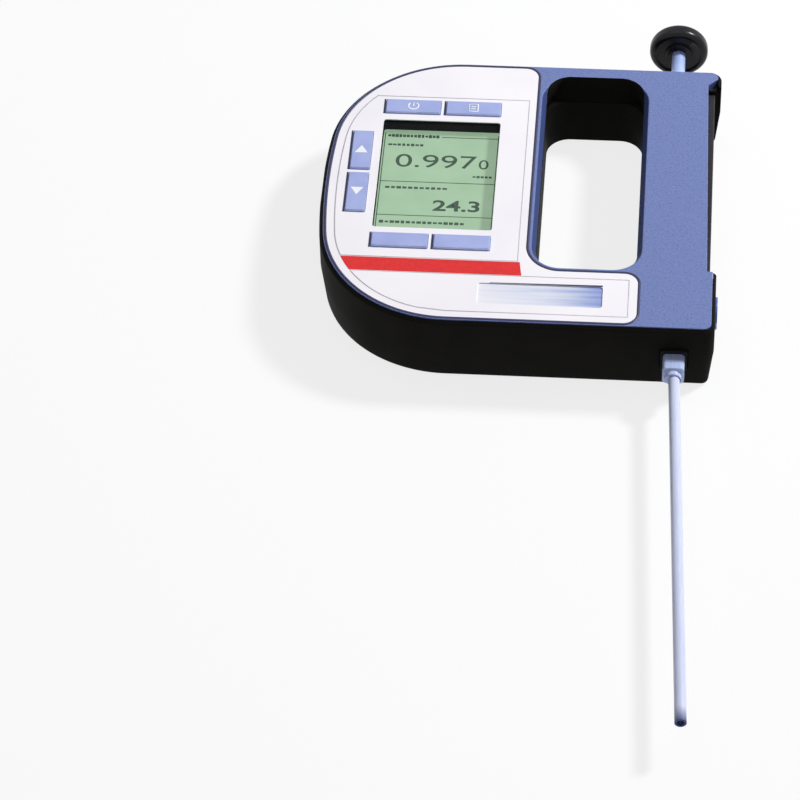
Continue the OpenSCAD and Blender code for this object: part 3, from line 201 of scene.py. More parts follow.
class ShaderWork(NodeWork):
    """Node tree of one material, with the patterns that the finishes share."""

    def __init__(self, name: str) -> None:
        """Starts a material with a Principled shader.

        Args:
            name: Name of the material.
        """
        self.material = bpy.data.materials.new(name)
        self.material.use_nodes = True
        super().__init__(self.material.node_tree)
        self.shader = self.tree.nodes["Principled BSDF"]
        self.place = self.add("ShaderNodeTexCoord").outputs["Object"]

    def noise(self, size: float, detail: float = 2.0, stretch: Place = (1.0, 1.0, 1.0)) -> Source:
        """Adds a noise pattern.

        Args:
            size: Size of its grains.
            detail: Octaves.
            stretch: Extra scale along each axis.

        Returns:
            The pattern.
        """
        mapping = self.add("ShaderNodeMapping")
        node = self.add("ShaderNodeTexNoise")
        self.put(mapping, Vector=self.place, Scale=stretch)
        self.put(node, Vector=mapping, Scale=1 / (size * MM), Detail=detail)
        return node

    def wave(self, axis: Axis, pitch: float) -> Source:
        """Adds a pattern of even bands.

        Args:
            axis: Axis that they follow each other along.
            pitch: Distance from band to band.

        Returns:
            The pattern.
        """
        node = self.add("ShaderNodeTexWave", bands_direction=axis.value, wave_profile="SIN")
        self.put(node, Vector=self.place, Scale=math.pi / (WAVE_BANDS * pitch * MM))
        return node.outputs["Fac"]

    def along(self, axis: Axis, start: float, end: float) -> Source:
        """Runs a value from 0 to 1 between two places.

        Args:
            axis: Axis that it runs along.
            start: Place of 0 along the axis.
            end: Place of 1 along the axis.

        Returns:
            The value.
        """
        split = self.add("ShaderNodeSeparateXYZ")
        spread = self.add("ShaderNodeMapRange")
        self.put(split, Vector=self.place)
        self.put(spread, Value=split.outputs[axis.value], From_Min=start * MM, From_Max=end * MM)
        return spread

    def ramp(self, value: Source, stops: Iterable[tuple[float, str]]) -> Source:
        """Colours a value by a ramp.

        Args:
            value: What is coloured.
            stops: Place and hex colour of each stop.

        Returns:
            The colour.
        """
        node = self.add("ShaderNodeValToRGB")
        wanted = list(stops)
        while len(node.color_ramp.elements) < len(wanted):
            node.color_ramp.elements.new(0.5)
        for element, (place, colour) in zip(node.color_ramp.elements, wanted):
            element.position = place
            element.color = linear(colour)
        self.put(node, Fac=value)
        return node

    def mix(self, blend: str, **values: object) -> Source:
        """Mixes two colours.

        Args:
            blend: Blend type.
            **values: Factor, A and B.

        Returns:
            The colour.
        """
        node = self.add("ShaderNodeMix", data_type="RGBA", blend_type=blend)
        self.put(node, **values)
        return node

    def own_colour(self) -> Source:
        """What the shader's colour comes from."""
        return self.shader.inputs["Base Color"].links[0].from_socket

    def fade(self, colour: str, axis: Axis, start: float, end: float) -> None:
        """Fades from a colour into the shader's own colour.

        Args:
            colour: Hex colour at the start.
            axis: Axis that it fades along.
            start: Place along the axis where the fade starts.
            end: Place along the axis where only the own colour is left.
        """
        share = self.along(axis, start, end)
        mixed = self.mix("MIX", Factor=share, A=linear(colour), B=self.own_colour())
        self.put(self.shader, Base_Color=mixed)


# Materials made so far, by the name of their finish
MADE: dict[str, bpy.types.Material] = {}


@dataclass(frozen=True)
class Finish:
    """A surface of two shades that a pattern mixes, with uneven gloss and a grain of a size and depth."""

    name: str
    colour: str = "#808080"
    shade: str = "#707070"
    rough: Point = (0.4, 0.55)
    _: KW_ONLY
    shares: str = ""
    patch: float = 10.0
    detail: float = 2.0
    stretch: Place = (1.0, 1.0, 1.0)
    step: float = 0.15
    gloss_patch: float = 10.0
    grain: Point = (1.0, 0.0)
    specular: float = 0.5
    metal: float = 0.0
    alpha: float = 1.0
    clear: float = 0.0
    index: float = 1.5

    @property
    def slot(self) -> str:
        """The finish's own slot, or the one that it shares."""
        return self.shares or self.name

    def material(self) -> bpy.types.Material:
        """Makes the finish's material at the first call.

        Returns:
            The material.
        """
        if self.name not in MADE:
            work = ShaderWork(self.name)
            self.paint(work)
            MADE[self.name] = work.material
        return MADE[self.name]

    def pattern(self, work: ShaderWork) -> Source:
        """What mixes the two shades."""
        return work.noise(self.patch, self.detail, self.stretch)

    def gloss(self, work: ShaderWork) -> Source:
        """What the roughness varies with."""
        return work.noise(self.gloss_patch)

    def tint(self, work: ShaderWork) -> Source:
        """The colour of the surface."""
        stops = [(0.5 - self.step, self.shade), (0.5 + self.step, self.colour)]
        return work.ramp(self.pattern(work), stops)

    def paint(self, work: ShaderWork) -> None:
        """Builds the nodes.

        Args:
            work: Node tree of the material.
        """
        spread = work.add("ShaderNodeMapRange")
        work.put(spread, Value=self.gloss(work), To_Min=self.rough[0], To_Max=self.rough[1])
        work.put(
            work.shader, Base_Color=self.tint(work), Roughness=spread, Specular_IOR_Level=self.specular,
            Metallic=self.metal, Alpha=self.alpha, Transmission_Weight=self.clear, IOR=self.index,
        )
        size, depth = self.grain
        if depth:
            bump = work.add("ShaderNodeBump")
            work.put(bump, Strength=1.0, Distance=depth * MM, Height=work.noise(size, FINE))
            work.put(work.shader, Normal=bump)


@dataclass(frozen=True)
class Plastic(Finish):
    """Moulded plastic with a fine grain and soft changes of shade."""

    patch: float = 9.0
    detail: float = FINE
    gloss_patch: float = 14.0


@dataclass(frozen=True)
class SpeckledPlastic(Finish):
    """Blue-grey moulding with fine light and dark specks, and painted shade that makes it deeper blue
    below its top, on its bevels and sides.
    """

    light: str = "#7c8abd"
    colour: str = "#7281b5"
    dark: str = "#6270a6"
    stops: Sequence[float] = (0.34, 0.46, 0.58, 0.70)
    # Painted shade: the deep blue of the bevels and sides below side_top, which fades into the own colour
    # up to top
    side: str = "#384576"
    side_top: float = 27.5
    top: float = 27.9
    patch: float = 0.62
    specular: float = 0.2
    rough: Point = (0.5, 0.65)
    gloss_patch: float = 6.0
    grain: Point = (0.4, 0.015)

    def tint(self, work: ShaderWork) -> Source:
        """Specks of three shades."""
        colours = (self.dark, self.colour, self.colour, self.light)
        return work.ramp(self.pattern(work), zip(self.stops, colours))

    def paint(self, work: ShaderWork) -> None:
        """Builds the nodes and paints shade that deepens the colour downwards."""
        super().paint(work)
        # Painted shade on everything below the top face
        work.fade(self.side, Axis.Z, self.side_top, self.top)


@dataclass(frozen=True)
class PrintedSheet(Finish):
    """Smooth satin sheet, nearly one shade, with a trace of unevenness."""

    colour: str = "#faf7fc"
    shade: str = "#f3f1f8"
    patch: float = 30.0
    step: float = WIDE_STEP
    rough: Point = (0.32, 0.44)
    gloss_patch: float = 20.0
    grain: Point = (0.9, 0.004)


@dataclass(frozen=True)
class Ink(Finish):
    """A printed colour that is a little uneven."""

    patch: float = 1.5
    rough: Point = (0.35, 0.5)
    gloss_patch: float = 5.0


@dataclass(frozen=True)
class TurnedMetal(Finish):
    """Metal with fine tool marks."""

    rough: Point = (0.22, 0.38)
    patch: float = 0.8
    detail: float = FINE
    stretch: Place = (0.08, 6.0, 0.08)
    metal: float = 1.0

    def gloss(self, work: ShaderWork) -> Source:
        """The tool marks."""
        return self.pattern(work)


@dataclass(frozen=True)
class ClearPane(Finish):
    """Clear hard pane with a trace of smudges."""

    colour: str = "#dfe8f2"
    shade: str = "#cfd9e6"
    patch: float = 12.0
    detail: float = FINE
    step: float = WIDE_STEP
    alpha: float = 0.006
    specular: float = 0.02
    rough: Point = (0.04, 0.12)


@dataclass(frozen=True)
class StreakedPane(Finish):
    """Pane over the cell, paler at its left end and darker towards its right end, with lengthwise streaks.
    """

    start: float = -12.0
    end: float = 32.0
    bend: float = 0.55
    left: str = "#eff0fb"
    middle: str = "#d6dcf4"
    right: str = "#8c9bd1"
    shade: str = "#98a4d6"
    patch: float = 1.6
    detail: float = 1.5
    stretch: Place = (0.05, 1.0, 1.0)
    streak_stops: Point = (0.35, 0.62)
    streak_share: float = 0.35
    alpha: float = 0.94
    specular: float = 0.3
    rough: Point = (0.06, 0.14)

    def tint(self, work: ShaderWork) -> Source:
        """Runs a colour from pale to darker along the pane and lays streaks over it.

        Args:
            work: Node tree of the material.

        Returns:
            The colour.
        """
        place = work.along(Axis.X, self.start, self.end)
        base = work.ramp(place, [(0.0, self.left), (self.bend, self.middle), (1.0, self.right)])
        streaks = work.ramp(self.pattern(work), zip(self.streak_stops, (self.shade, WHITE)))
        return work.mix("OVERLAY", Factor=self.streak_share, A=base, B=streaks)


@dataclass(frozen=True)
class ClearResin(Finish):
    """Translucent plastic or glass, tinted, with faint flow streaks."""

    clear: float = 0.5
    rough: Point = (0.12, 0.24)
    index: float = 1.45
    patch: float = 2.0
    stretch: Place = (2.0, 0.15, 2.0)
    step: float = WIDE_STEP
    gloss_patch: float = 4.0


@dataclass(frozen=True)
class TippedResin(ClearResin):
    """Translucent plastic that is darker at its lower end."""

    tip: str = "#3a4a86"
    tip_y: float = -228.2
    tip_l: float = 6.0

    def paint(self, work: ShaderWork) -> None:
        """Builds the nodes and mixes the tip's colour into the tint."""
        super().paint(work)
        work.fade(self.tip, Axis.Y, self.tip_y, self.tip_y + self.tip_l)


@dataclass(frozen=True)
class DisplayGlass(Finish):
    """Grey-green display with a fine grid of cells, and a painted glow that lightens the shadow in its
    well.
    """

    colour: str = "#b0ceb0"
    shade: str = "#a6c6a6"
    patch: float = 16.0
    step: float = WIDE_STEP
    cell: float = 0.42
    grid: str = "#dde4dd"
    grid_edge: float = 0.35
    grid_share: float = 0.3
    # Share of the colour that the lamps light; the rest is a painted glow
    share_without_painted_glow: float = 0.4
    specular: float = 0.1
    rough: Point = (0.25, 0.35)
    gloss_patch: float = 12.0

    def tint(self, work: ShaderWork) -> Source:
        """Crosses two fine wave patterns into a grid over soft patches.

        Args:
            work: Node tree of the material.

        Returns:
            The colour.
        """
        tint = super().tint(work)
        for axis in (Axis.X, Axis.Y):
            bars = work.ramp(work.wave(axis, self.cell), [(0.0, self.grid), (self.grid_edge, WHITE)])
            tint = work.mix("MULTIPLY", Factor=self.grid_share, A=tint, B=bars)
        return tint

    def paint(self, work: ShaderWork) -> None:
        """Builds the nodes and turns part of the colour into a painted glow, which lightens the shadow
        that falls on the display.

        Args:
            work: Node tree of the material.
        """
        super().paint(work)
        tint = work.own_colour()
        dark = work.mix("MULTIPLY", Factor=1.0, A=tint, B=(self.share_without_painted_glow, self.share_without_painted_glow, self.share_without_painted_glow, 1.0))
        # Painted glow: the display glows, though it is no lamp, to lighten the shadow on it
        work.put(work.shader, Base_Color=dark, Emission_Color=tint, Emission_Strength=1.0 - self.share_without_painted_glow)


@dataclass(frozen=True)
class BandedWrap(Finish):
    """Bands of two colours along an axis, as on a battery or a winding."""

    colour: str = "#8b5a2b"
    shade: str = "#1b1b1e"
    pitch: float = 35.0
    axis: Axis = Axis.Y
    step: float = HARD_STEP
    rough: Point = (0.25, 0.4)
    gloss_patch: float = 6.0

    def pattern(self, work: ShaderWork) -> Source:
        """The bands."""
        return work.wave(self.axis, self.pitch)


CASE_BLACK = Plastic("case_black", "#100f0c", "#0c0b09", (0.6, 0.75), grain=(0.3, 0.012), specular=0.06)
COVER_BLUE = SpeckledPlastic("cover_blue")
LABEL_WHITE = PrintedSheet("label_white")
KEY_BLUE = Plastic("key_blue", "#aab6e6", "#a1ade0", (0.42, 0.52), grain=(0.8, 0.004), specular=0.25)
RUBBER = Plastic("rubber_black", "#1e1e21", "#161618", (0.65, 0.8), grain=(0.25, 0.02))
STEEL = TurnedMetal("steel", "#c3cde0", "#98a5c2")
ROD_STEEL = TurnedMetal("rod_steel", "#b6c9fa", "#a6bbf5", (0.3, 0.42), metal=0.25, shares="steel")
BRASS = TurnedMetal("brass", "#b79a4a", "#9c823a")
BATTERY_WRAP = BandedWrap("battery_wrap")
BOARD_GREEN = Plastic("board_green", "#1f5c35", "#174a2a", (0.3, 0.42), grain=(0.5, 0.01))
LCD_GREEN = DisplayGlass("lcd_green")
CLEAR_PANE = ClearPane("clear_pane")
CELL_PANE = StreakedPane("cell_pane", shares="clear_pane")
CELL_METAL = TurnedMetal("cell_metal", "#8f9ac0", "#76829f", (0.35, 0.5), stretch=(0.1, 3.0, 3.0))
CELL_GLASS = ClearResin(
    "cell_glass", "#d6e4f8", "#c2d3f0", (0.03, 0.08), clear=0.6, index=1.47, stretch=(0.2, 2.0, 2.0)
)
COPPER_WIRE = BandedWrap("copper_wire", "#b06a33", "#7a431d", pitch=0.3, axis=Axis.Z, metal=0.8)
LIGHT_STRIP = PrintedSheet("light_strip", "#dfe8ff", "#cfdcfb")
COLLAR_GREY = Plastic("collar_grey", "#1d1d20", "#17171a", (0.55, 0.7), grain=(0.3, 0.012), specular=0.1)
FITTING_BLUE = ClearResin("fitting_blue", "#cbd9fb", "#b3c5f5", clear=0.12)
PLUG_BLUE = ClearResin("plug_blue", "#6282cd", "#4c6cc0", clear=0.3, shares="fitting_blue")
TUBE_CLEAR = TippedResin("tube_clear", "#dbe1fa", "#d0d9f7", (0.16, 0.26), clear=0.12)
HOSE_CLEAR = ClearResin("hose_clear", "#d9dee6", "#ccd3de", (0.3, 0.4), clear=0.4)
BARREL_CLEAR = ClearResin("barrel_clear", "#dbe3ed", "#cdd7e4", (0.05, 0.12), clear=0.7)
PISTON_WHITE = Plastic("piston_white", "#e8e6e0", "#dedbd3", (0.35, 0.5), grain=(0.5, 0.006))
KNOB_BLACK = Plastic("knob_black", "#101018", "#0b0b12", (0.24, 0.34), grain=(0.6, 0.003), specular=0.22)
TRIGGER_GREY = Plastic("trigger_grey", "#29292e", "#222227", (0.5, 0.64), grain=(0.3, 0.014), specular=0.2)
GREY_INK = Ink("grey_ink", "#b8b4be", "#aeaab4", shares="label_white")
RED_INK = Ink("red_ink", "#e11b1d", "#d4161a", shares="label_white")
# Navy print for the label's edge and the cell's line, and painted shadow beside the keys
NAVY_INK_AND_PAINTED_SHADOW = Ink("navy_ink_and_painted_shadow", "#191b4e", "#131540", shares="label_white")
WHITE_INK = Ink("white_ink", "#fbfbff", "#f2f3fb", shares="key_blue")
LCD_INK = Ink("lcd_ink", "#2c4a38", "#24402e", shares="lcd_green")
LCD_BAR = Ink("lcd_bar", "#355a45", "#2b4a39", shares="lcd_green")


def link(name: str, data: bpy.types.ID) -> Object:
    """Puts data into the scene as an object.

    Args:
        name: Name of the object.
        data: Its mesh, text, light or camera.

    Returns:
        The new object.
    """
    made = bpy.data.objects.new(name, data)
    bpy.context.scene.collection.objects.link(made)
    return made


def coat(mesh: Mesh, finish: Finish) -> None:
    """Gives a mesh one finish."""
    mesh.materials.clear()
    mesh.materials.append(finish.material())


def add_piece(name: str, mesh: Mesh, finish: Finish, body: str = ROOT) -> Object:
    """Puts a mesh into the scene as a piece of the object.

    Args:
        name: Name of the piece.
        mesh: Its mesh, in place.
        finish: Its surface.
        body: CAD body that it rides on.

    Returns:
        The new object.
    """
    mesh.name = name
    piece = link(name, mesh)
    coat(mesh, finish)
    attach(piece, body)
    LOG.info("piece %s: %d faces on %s", name, len(mesh.polygons), body)
    return piece


def merged(node: str) -> bmesh.types.BMesh:
    """Copies the mesh of a CAD node and merges its doubled points.

    Args:
        node: CAD node.

    Returns:
        The copy, to work on.
    """
    work = bmesh.new()
    work.from_mesh(frame["nodes"][node].data)
    bmesh.ops.remove_doubles(work, verts=work.verts, dist=MERGE * MM)
    return work


def baked(work: bmesh.types.BMesh) -> Mesh:
    """Turns a mesh that was worked on into a plain one.

    Args:
        work: Mesh that was worked on, which is used up.

    Returns:
        The plain mesh.
    """
    mesh = bpy.data.meshes.new("baked")
    work.to_mesh(mesh)
    work.free()
    return mesh


def settled(carrier: Object) -> Mesh:
    """Turns an object with live modifiers or text into a plain mesh.

    Args:
        carrier: Object that is evaluated and then removed.

    Returns:
        The evaluated mesh.
    """
    bpy.context.view_layer.update()
    graph = bpy.context.evaluated_depsgraph_get()
    mesh = bpy.data.meshes.new_from_object(carrier.evaluated_get(graph))
    old = carrier.data
    bpy.data.objects.remove(carrier)
    store = bpy.data.meshes if isinstance(old, Mesh) else bpy.data.curves
    store.remove(old)
    return mesh


def smooth(mesh: Mesh, angle: float) -> None:
    """Shades a mesh smooth, with edges sharper than an angle in degrees kept."""
    mesh.polygons.foreach_set("use_smooth", [True] * len(mesh.polygons))
    mesh.set_sharp_from_angle(angle=math.radians(angle))


def soften(node: str, finish: Finish, edge: float, angle: float = EDGE_ANGLE) -> Object:
    """Replaces a CAD node by a copy with small rounded edges.

    Args:
        node: CAD node that the copy stands for.
        finish: Surface of the copy.
        edge: Width of the rounded edges.
        angle: Edges sharper than this angle in degrees are rounded.

    Returns:
        The new piece.
    """
    work = merged(node)
    bmesh.ops.dissolve_limit(
        work, angle_limit=math.radians(PLANE_ANGLE), verts=work.verts, edges=work.edges,
        use_dissolve_boundaries=False,
    )
    mesh = baked(work)
    smooth(mesh, angle)
    rough = link("rough", mesh)
    bevel = rough.modifiers.new("edges", "BEVEL")
    bevel.width = edge * MM
    bevel.segments = EDGE_STEPS
    bevel.limit_method = "ANGLE"
    bevel.angle_limit = math.radians(angle)
    bevel.use_clamp_overlap = False
    bevel.harden_normals = True
    piece = add_piece(node + "_soft", settled(rough), finish, frame["nodes"][node]["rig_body"])
    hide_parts(node)
    return piece


def printed(outline: Sequence[Point], face: float, sink: float = PRINT_SINK) -> Mesh:
    """Makes a flat printed patch.

    Args:
        outline: Its corners in order.
        face: Height of the face that carries it.
        sink: How deep it sinks into that face.

    Returns:
        A closed mesh.
    """
    work = bmesh.new()
    low, high = (face - sink) * MM, (face + PRINT_T) * MM
    floor = [work.verts.new((x * MM, y * MM, low)) for x, y in outline]
    roof = [work.verts.new((x * MM, y * MM, high)) for x, y in outline]
    work.faces.new(floor)
    work.faces.new(roof)
    for i in range(len(outline)):
        work.faces.new((floor[i - 1], floor[i], roof[i], roof[i - 1]))
    bmesh.ops.recalc_face_normals(work, faces=work.faces)
    return baked(work)


def joined(parts: Sequence[Mesh]) -> Mesh:
    """Joins meshes into one.

    Args:
        parts: Meshes, which are used up.

    Returns:
        One mesh with all their faces.
    """
    work = bmesh.new()
    for part in parts:
        work.from_mesh(part)
        bpy.data.meshes.remove(part)
    return baked(work)


def corners_of(low: Point, high: Point) -> list[Point]:
    """The corners of a rectangle in order, from its low corner."""
    return [low, (high[0], low[1]), high, (low[0], high[1])]


def skin(node: str, low: Point, high: Point, middle: Point, thick: float) -> Mesh:
    """Makes a thin sheet on the steep faces of a CAD node that look towards one place, laid there as
    painted shade.

    Args:
        node: CAD node.
        low: Low corner of the field that the faces lie in.
        high: High corner of that field.
        middle: Place that the faces look towards.
        thick: Thickness.

    Returns:
        A closed mesh.
    """
    work = merged(node)
    work.normal_update()
    others = []
    for face in work.faces:
        spot = face.calc_center_median() / MM
        inside = low[0] < spot.x < high[0] and low[1] < spot.y < high[1]
        towards = (middle[0] - spot.x) * face.normal.x + (middle[1] - spot.y) * face.normal.y
        if not inside or abs(face.normal.z) > STEEP or towards < 0:
            others.append(face)
    bmesh.ops.delete(work, geom=others, context="FACES")
    carrier = link("skin", baked(work))
    shell = carrier.modifiers.new("thickness", "SOLIDIFY")
    shell.thickness = thick * MM
    shell.offset = 1.0
    return settled(carrier)


def top_outlines(node: str) -> list[list[Point]]:
    """Finds the outlines of a CAD node's flat top.

    Args:
        node: CAD node.

    Returns:
        The outer outline, then those of the openings, each as points in order.
    """
    work = merged(node)
    work.normal_update()
    floor = max(v.co.z for v in work.verts) - TOP_DEPTH * MM
    top = {f for f in work.faces if f.normal.z > LEVEL and f.calc_center_median().z > floor}
    rim = {e for f in top for e in f.edges if sum(g in top for g in e.link_faces) == 1}
    outlines: list[list[Point]] = []
    while rim:
        spot = min((v for e in rim for v in e.verts), key=lambda v: tuple(v.co))
        outline: list[Point] = []
        step = next(e for e in spot.link_edges if e in rim)
        while step:
            outline.append((spot.co.x / MM, spot.co.y / MM))
            rim.remove(step)
            spot = step.other_vert(spot)
            step = next((e for e in spot.link_edges if e in rim), None)
        outlines.append(outline)
    work.free()
    return outlines


def opening_box(node: str) -> tuple[Point, Point]:
    """Finds the label's opening over a CAD node.

    Args:
        node: CAD node under or in the opening.

    Returns:
        Low and high corner of the opening.
    """
    low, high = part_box(node)
    middle = (low + high) / 2 / MM
    for outline in top_outlines("front_label")[1:]:
        xs, ys = zip(*outline)
        if min(xs) < middle.x < max(xs) and min(ys) < middle.y < max(ys):
            return (min(xs), min(ys)), (max(xs), max(ys))
    raise ValueError("no opening over " + node)


def grown(outline: Sequence[Point], margin: float) -> list[Point]:
    """Moves a closed outline outwards.

    Args:
        outline: Points in order.
        margin: How far it moves.

    Returns:
        The moved points.
    """
    count = len(outline)
    area = sum(a[0] * b[1] - b[0] * a[1] for a, b in zip(outline, [*outline[1:], outline[0]]))
    side = math.copysign(margin, area)
    moved = []
    for i, (x, y) in enumerate(outline):
        along = Vector(outline[(i + 1) % count]) - Vector(outline[i - 1])
        along.normalize()
        moved.append((x + side * along.y, y - side * along.x))
    return moved


class GeometryTree(NodeWork):
    """A Geometry Nodes tree with named inputs, which ends in real geometry of one material."""

    FLOATS: Sequence[str] = ()
    COUNTS: Sequence[str] = ()

    def __init__(self, finish: Finish) -> None:
        """Builds the tree.

        Args:
            finish: Surface of what it makes.
        """
        name = "%s %s" % (type(self).__name__, finish.name)
        super().__init__(bpy.data.node_groups.new(name, "GeometryNodeTree"))
        sides = self.tree.interface
        sides.new_socket("Geometry", in_out="INPUT", socket_type="NodeSocketGeometry")
        self.sockets: dict[str, str] = {}
        for kind, names in (("NodeSocketFloat", self.FLOATS), ("NodeSocketInt", self.COUNTS)):
            for key in names:
                self.sockets[key] = sides.new_socket(key, in_out="INPUT", socket_type=kind).identifier
        sides.new_socket("Geometry", in_out="OUTPUT", socket_type="NodeSocketGeometry")
        self.given = self.add("NodeGroupInput").outputs
        real = self.add("GeometryNodeRealizeInstances")
        dress = self.add("GeometryNodeSetMaterial")
        self.put(real, Geometry=self.shape())
        self.put(dress, Geometry=real, Material=finish.material())
        self.put(self.add("NodeGroupOutput"), Geometry=dress)

    def shape(self) -> Source:
        """Adds the nodes that make the geometry; each tree has its own."""
        raise NotImplementedError

    def run(self, base: Mesh | None = None, **sizes: float) -> Mesh:
        """Runs the tree.

        Args:
            base: Mesh that goes in, where the tree takes one.
            **sizes: Value of each named input.

        Returns:
            The made mesh.
        """
        carrier = link("carrier", base or bpy.data.meshes.new("base"))
        shape = carrier.modifiers.new("shape", "NODES")
        shape.node_group = self.tree
        for key, value in sizes.items():
            shape[self.sockets[key]] = value
        return settled(carrier)


class LineTree(GeometryTree):
    """A flat line along a path, as printed."""

    FLOATS = ("Width", "Height")

    def shape(self) -> Source:
        """Sweeps a flat profile along the path.

        Returns:
            The line.
        """
        path = self.add("GeometryNodeMeshToCurve")
        level = self.add("GeometryNodeSetCurveNormal", mode="Z_UP")
        profile = self.add("GeometryNodeCurvePrimitiveQuadrilateral", mode="RECTANGLE")
        swept = self.add("GeometryNodeCurveToMesh")
        self.put(path, Mesh=self.given["Geometry"])
        self.put(level, Curve=path)
        self.put(profile, Width=self.given["Width"], Height=self.given["Height"])
        self.put(swept, Curve=level, Profile_Curve=profile, Fill_Caps=True)
        return swept

    def draw(self, points: Sequence[Point], z: float, width: float, ring: bool = False) -> Mesh:
        """Draws one line.

        Args:
            points: Points of the path.
            z: Height of the line's middle.
            width: Width of the line.
            ring: Whether the path closes.

        Returns:
            The line's mesh.
        """
        base = bpy.data.meshes.new("path")
        count = len(points)
        edges = [(i, (i + 1) % count) for i in range(count if ring else count - 1)]
        base.from_pydata([(x * MM, y * MM, z * MM) for x, y in points], edges, [])
        return self.run(base, Width=width * MM, Height=PRINT_T * MM)


class DashTree(GeometryTree):
    """A row of dashes of uneven length, which stands for a line of small writing."""

    FLOATS = ("Pitch", "Length", "Height", "Thickness")
    COUNTS = ("Count", "Seed")
    SHORTEST = (0.7, 0.55, 1.0)
    LONGEST = (1.0, 1.0, 1.0)
    FILL = 0.88

    def shape(self) -> Source:
        """Sets blocks of uneven size in a row.

        Returns:
            The row.
        """
        given = self.given
        step = self.add("ShaderNodeCombineXYZ")
        row = self.add("GeometryNodeMeshLine", mode="OFFSET")
        size = self.add("ShaderNodeCombineXYZ")
        block = self.add("GeometryNodeMeshCube")
        spread = self.add("FunctionNodeRandomValue", data_type="FLOAT_VECTOR")
        copies = self.add("GeometryNodeInstanceOnPoints")
        self.put(step, X=given["Pitch"])
        self.put(row, Count=given["Count"], Offset=step)
        self.put(size, X=given["Length"], Y=given["Height"], Z=given["Thickness"])
        self.put(block, Size=size)
        self.put(spread, Min=self.SHORTEST, Max=self.LONGEST, Seed=given["Seed"])
        self.put(copies, Points=row, Instance=block, Scale=spread)
        return copies

    def write(self, low: Point, high: Point, z: float, count: int, seed: int) -> Mesh:
        """Fills a box with one row of dashes.

        Args:
            low: Low corner of the box.
            high: High corner of the box.
            z: Height of the row's middle.
            count: Number of dashes.
            seed: Fixed seed of their lengths.

        Returns:
            The row's mesh, in place.
        """
        pitch = (high[0] - low[0]) / count
        mesh = self.run(
            Count=count, Pitch=pitch * MM, Length=self.FILL * pitch * MM, Height=(high[1] - low[1]) * MM,
            Thickness=PRINT_T * MM, Seed=seed,
        )
        middle = (low[1] + high[1]) / 2
        mesh.transform(Matrix.Translation(Vector((low[0] + pitch / 2, middle, z)) * MM))
        return mesh


class CoilTree(GeometryTree):
    """A wound wire round +Z, from z = 0 to the height of its last turn."""

    FLOATS = ("Turns", "Radius", "Height", "Wire")
    COUNTS = ("Steps", "Sides")

    def shape(self) -> Source:
        """Sweeps the wire's round profile along a spiral.

        Returns:
            The coil.
        """
        given = self.given
        spiral = self.add("GeometryNodeCurveSpiral")
        ring = self.add("GeometryNodeCurvePrimitiveCircle", mode="RADIUS")
        swept = self.add("GeometryNodeCurveToMesh")
        self.put(spiral, Resolution=given["Steps"], Rotations=given["Turns"], Height=given["Height"])
        self.put(spiral, Start_Radius=given["Radius"], End_Radius=given["Radius"])
        self.put(ring, Resolution=given["Sides"], Radius=given["Wire"])
        self.put(swept, Curve=spiral, Profile_Curve=ring, Fill_Caps=True)
        return swept


class SubAssembly:
    """Pieces that belong together, with the finish of each CAD node that keeps its form."""

    KEPT: dict[str, Finish] = {}

    def build(self) -> None:
        """Builds the pieces; each sub-assembly has its own."""
        raise NotImplementedError

    def dress(self) -> None:
        """Gives the CAD nodes that keep their form their finish."""
        for node, finish in self.KEPT.items():
            coat(frame["nodes"][node].data, finish)
            LOG.info("node %s: %s", node, finish.name)


@dataclass
class CaseShell(SubAssembly):
    """Rear shell, front cover and what holds them together."""

    KEPT = {
        **dict.fromkeys(("case_screws", "battery_cover_screws", "board_screws"), STEEL),
        **dict.fromkeys(("case_gasket", "battery_cover_seal", "keypad_mat", "plug_seal"), RUBBER),
        "batteries": BATTERY_WRAP, "battery_contacts": BRASS, "main_board": BOARD_GREEN,
    }
    shell_edge: float = 0.3
    cover_edge: float = 0.22
    hatch_edge: float = 0.2
    opening: Point = (25.0, 10.0)
    # Field and thickness of the black sheet of painted shade on the bridge's slope, whose faces look
    # towards the opening
    slope_low: Point = (6.5, 48.5)
    slope_high: Point = (43.5, 64.0)
    shade_skin_t: float = 0.15

    def build(self) -> None:
        """Rounds the edges of the shell and its covers, and lays a thin black sheet of painted shade on
        the bridge's slope.
        """
        soften("rear_case", CASE_BLACK, self.shell_edge)
        soften("front_cover", COVER_BLUE, self.cover_edge)
        soften("battery_cover", CASE_BLACK, self.hatch_edge)
        # Painted shade: a black sheet over the blue slope, where the slope lies in shadow
        slope_shade = skin("front_cover", self.slope_low, self.slope_high, self.opening, self.shade_skin_t)
        add_piece("bridge_slope_painted_shade", slope_shade, CASE_BLACK)


@dataclass(frozen=True)
class Zone:
    """A zone of the label between the case's round side and a straight right side."""

    inset: float
    low: float
    high: float
    right: float
    steps: int
    slant: float = 0.0


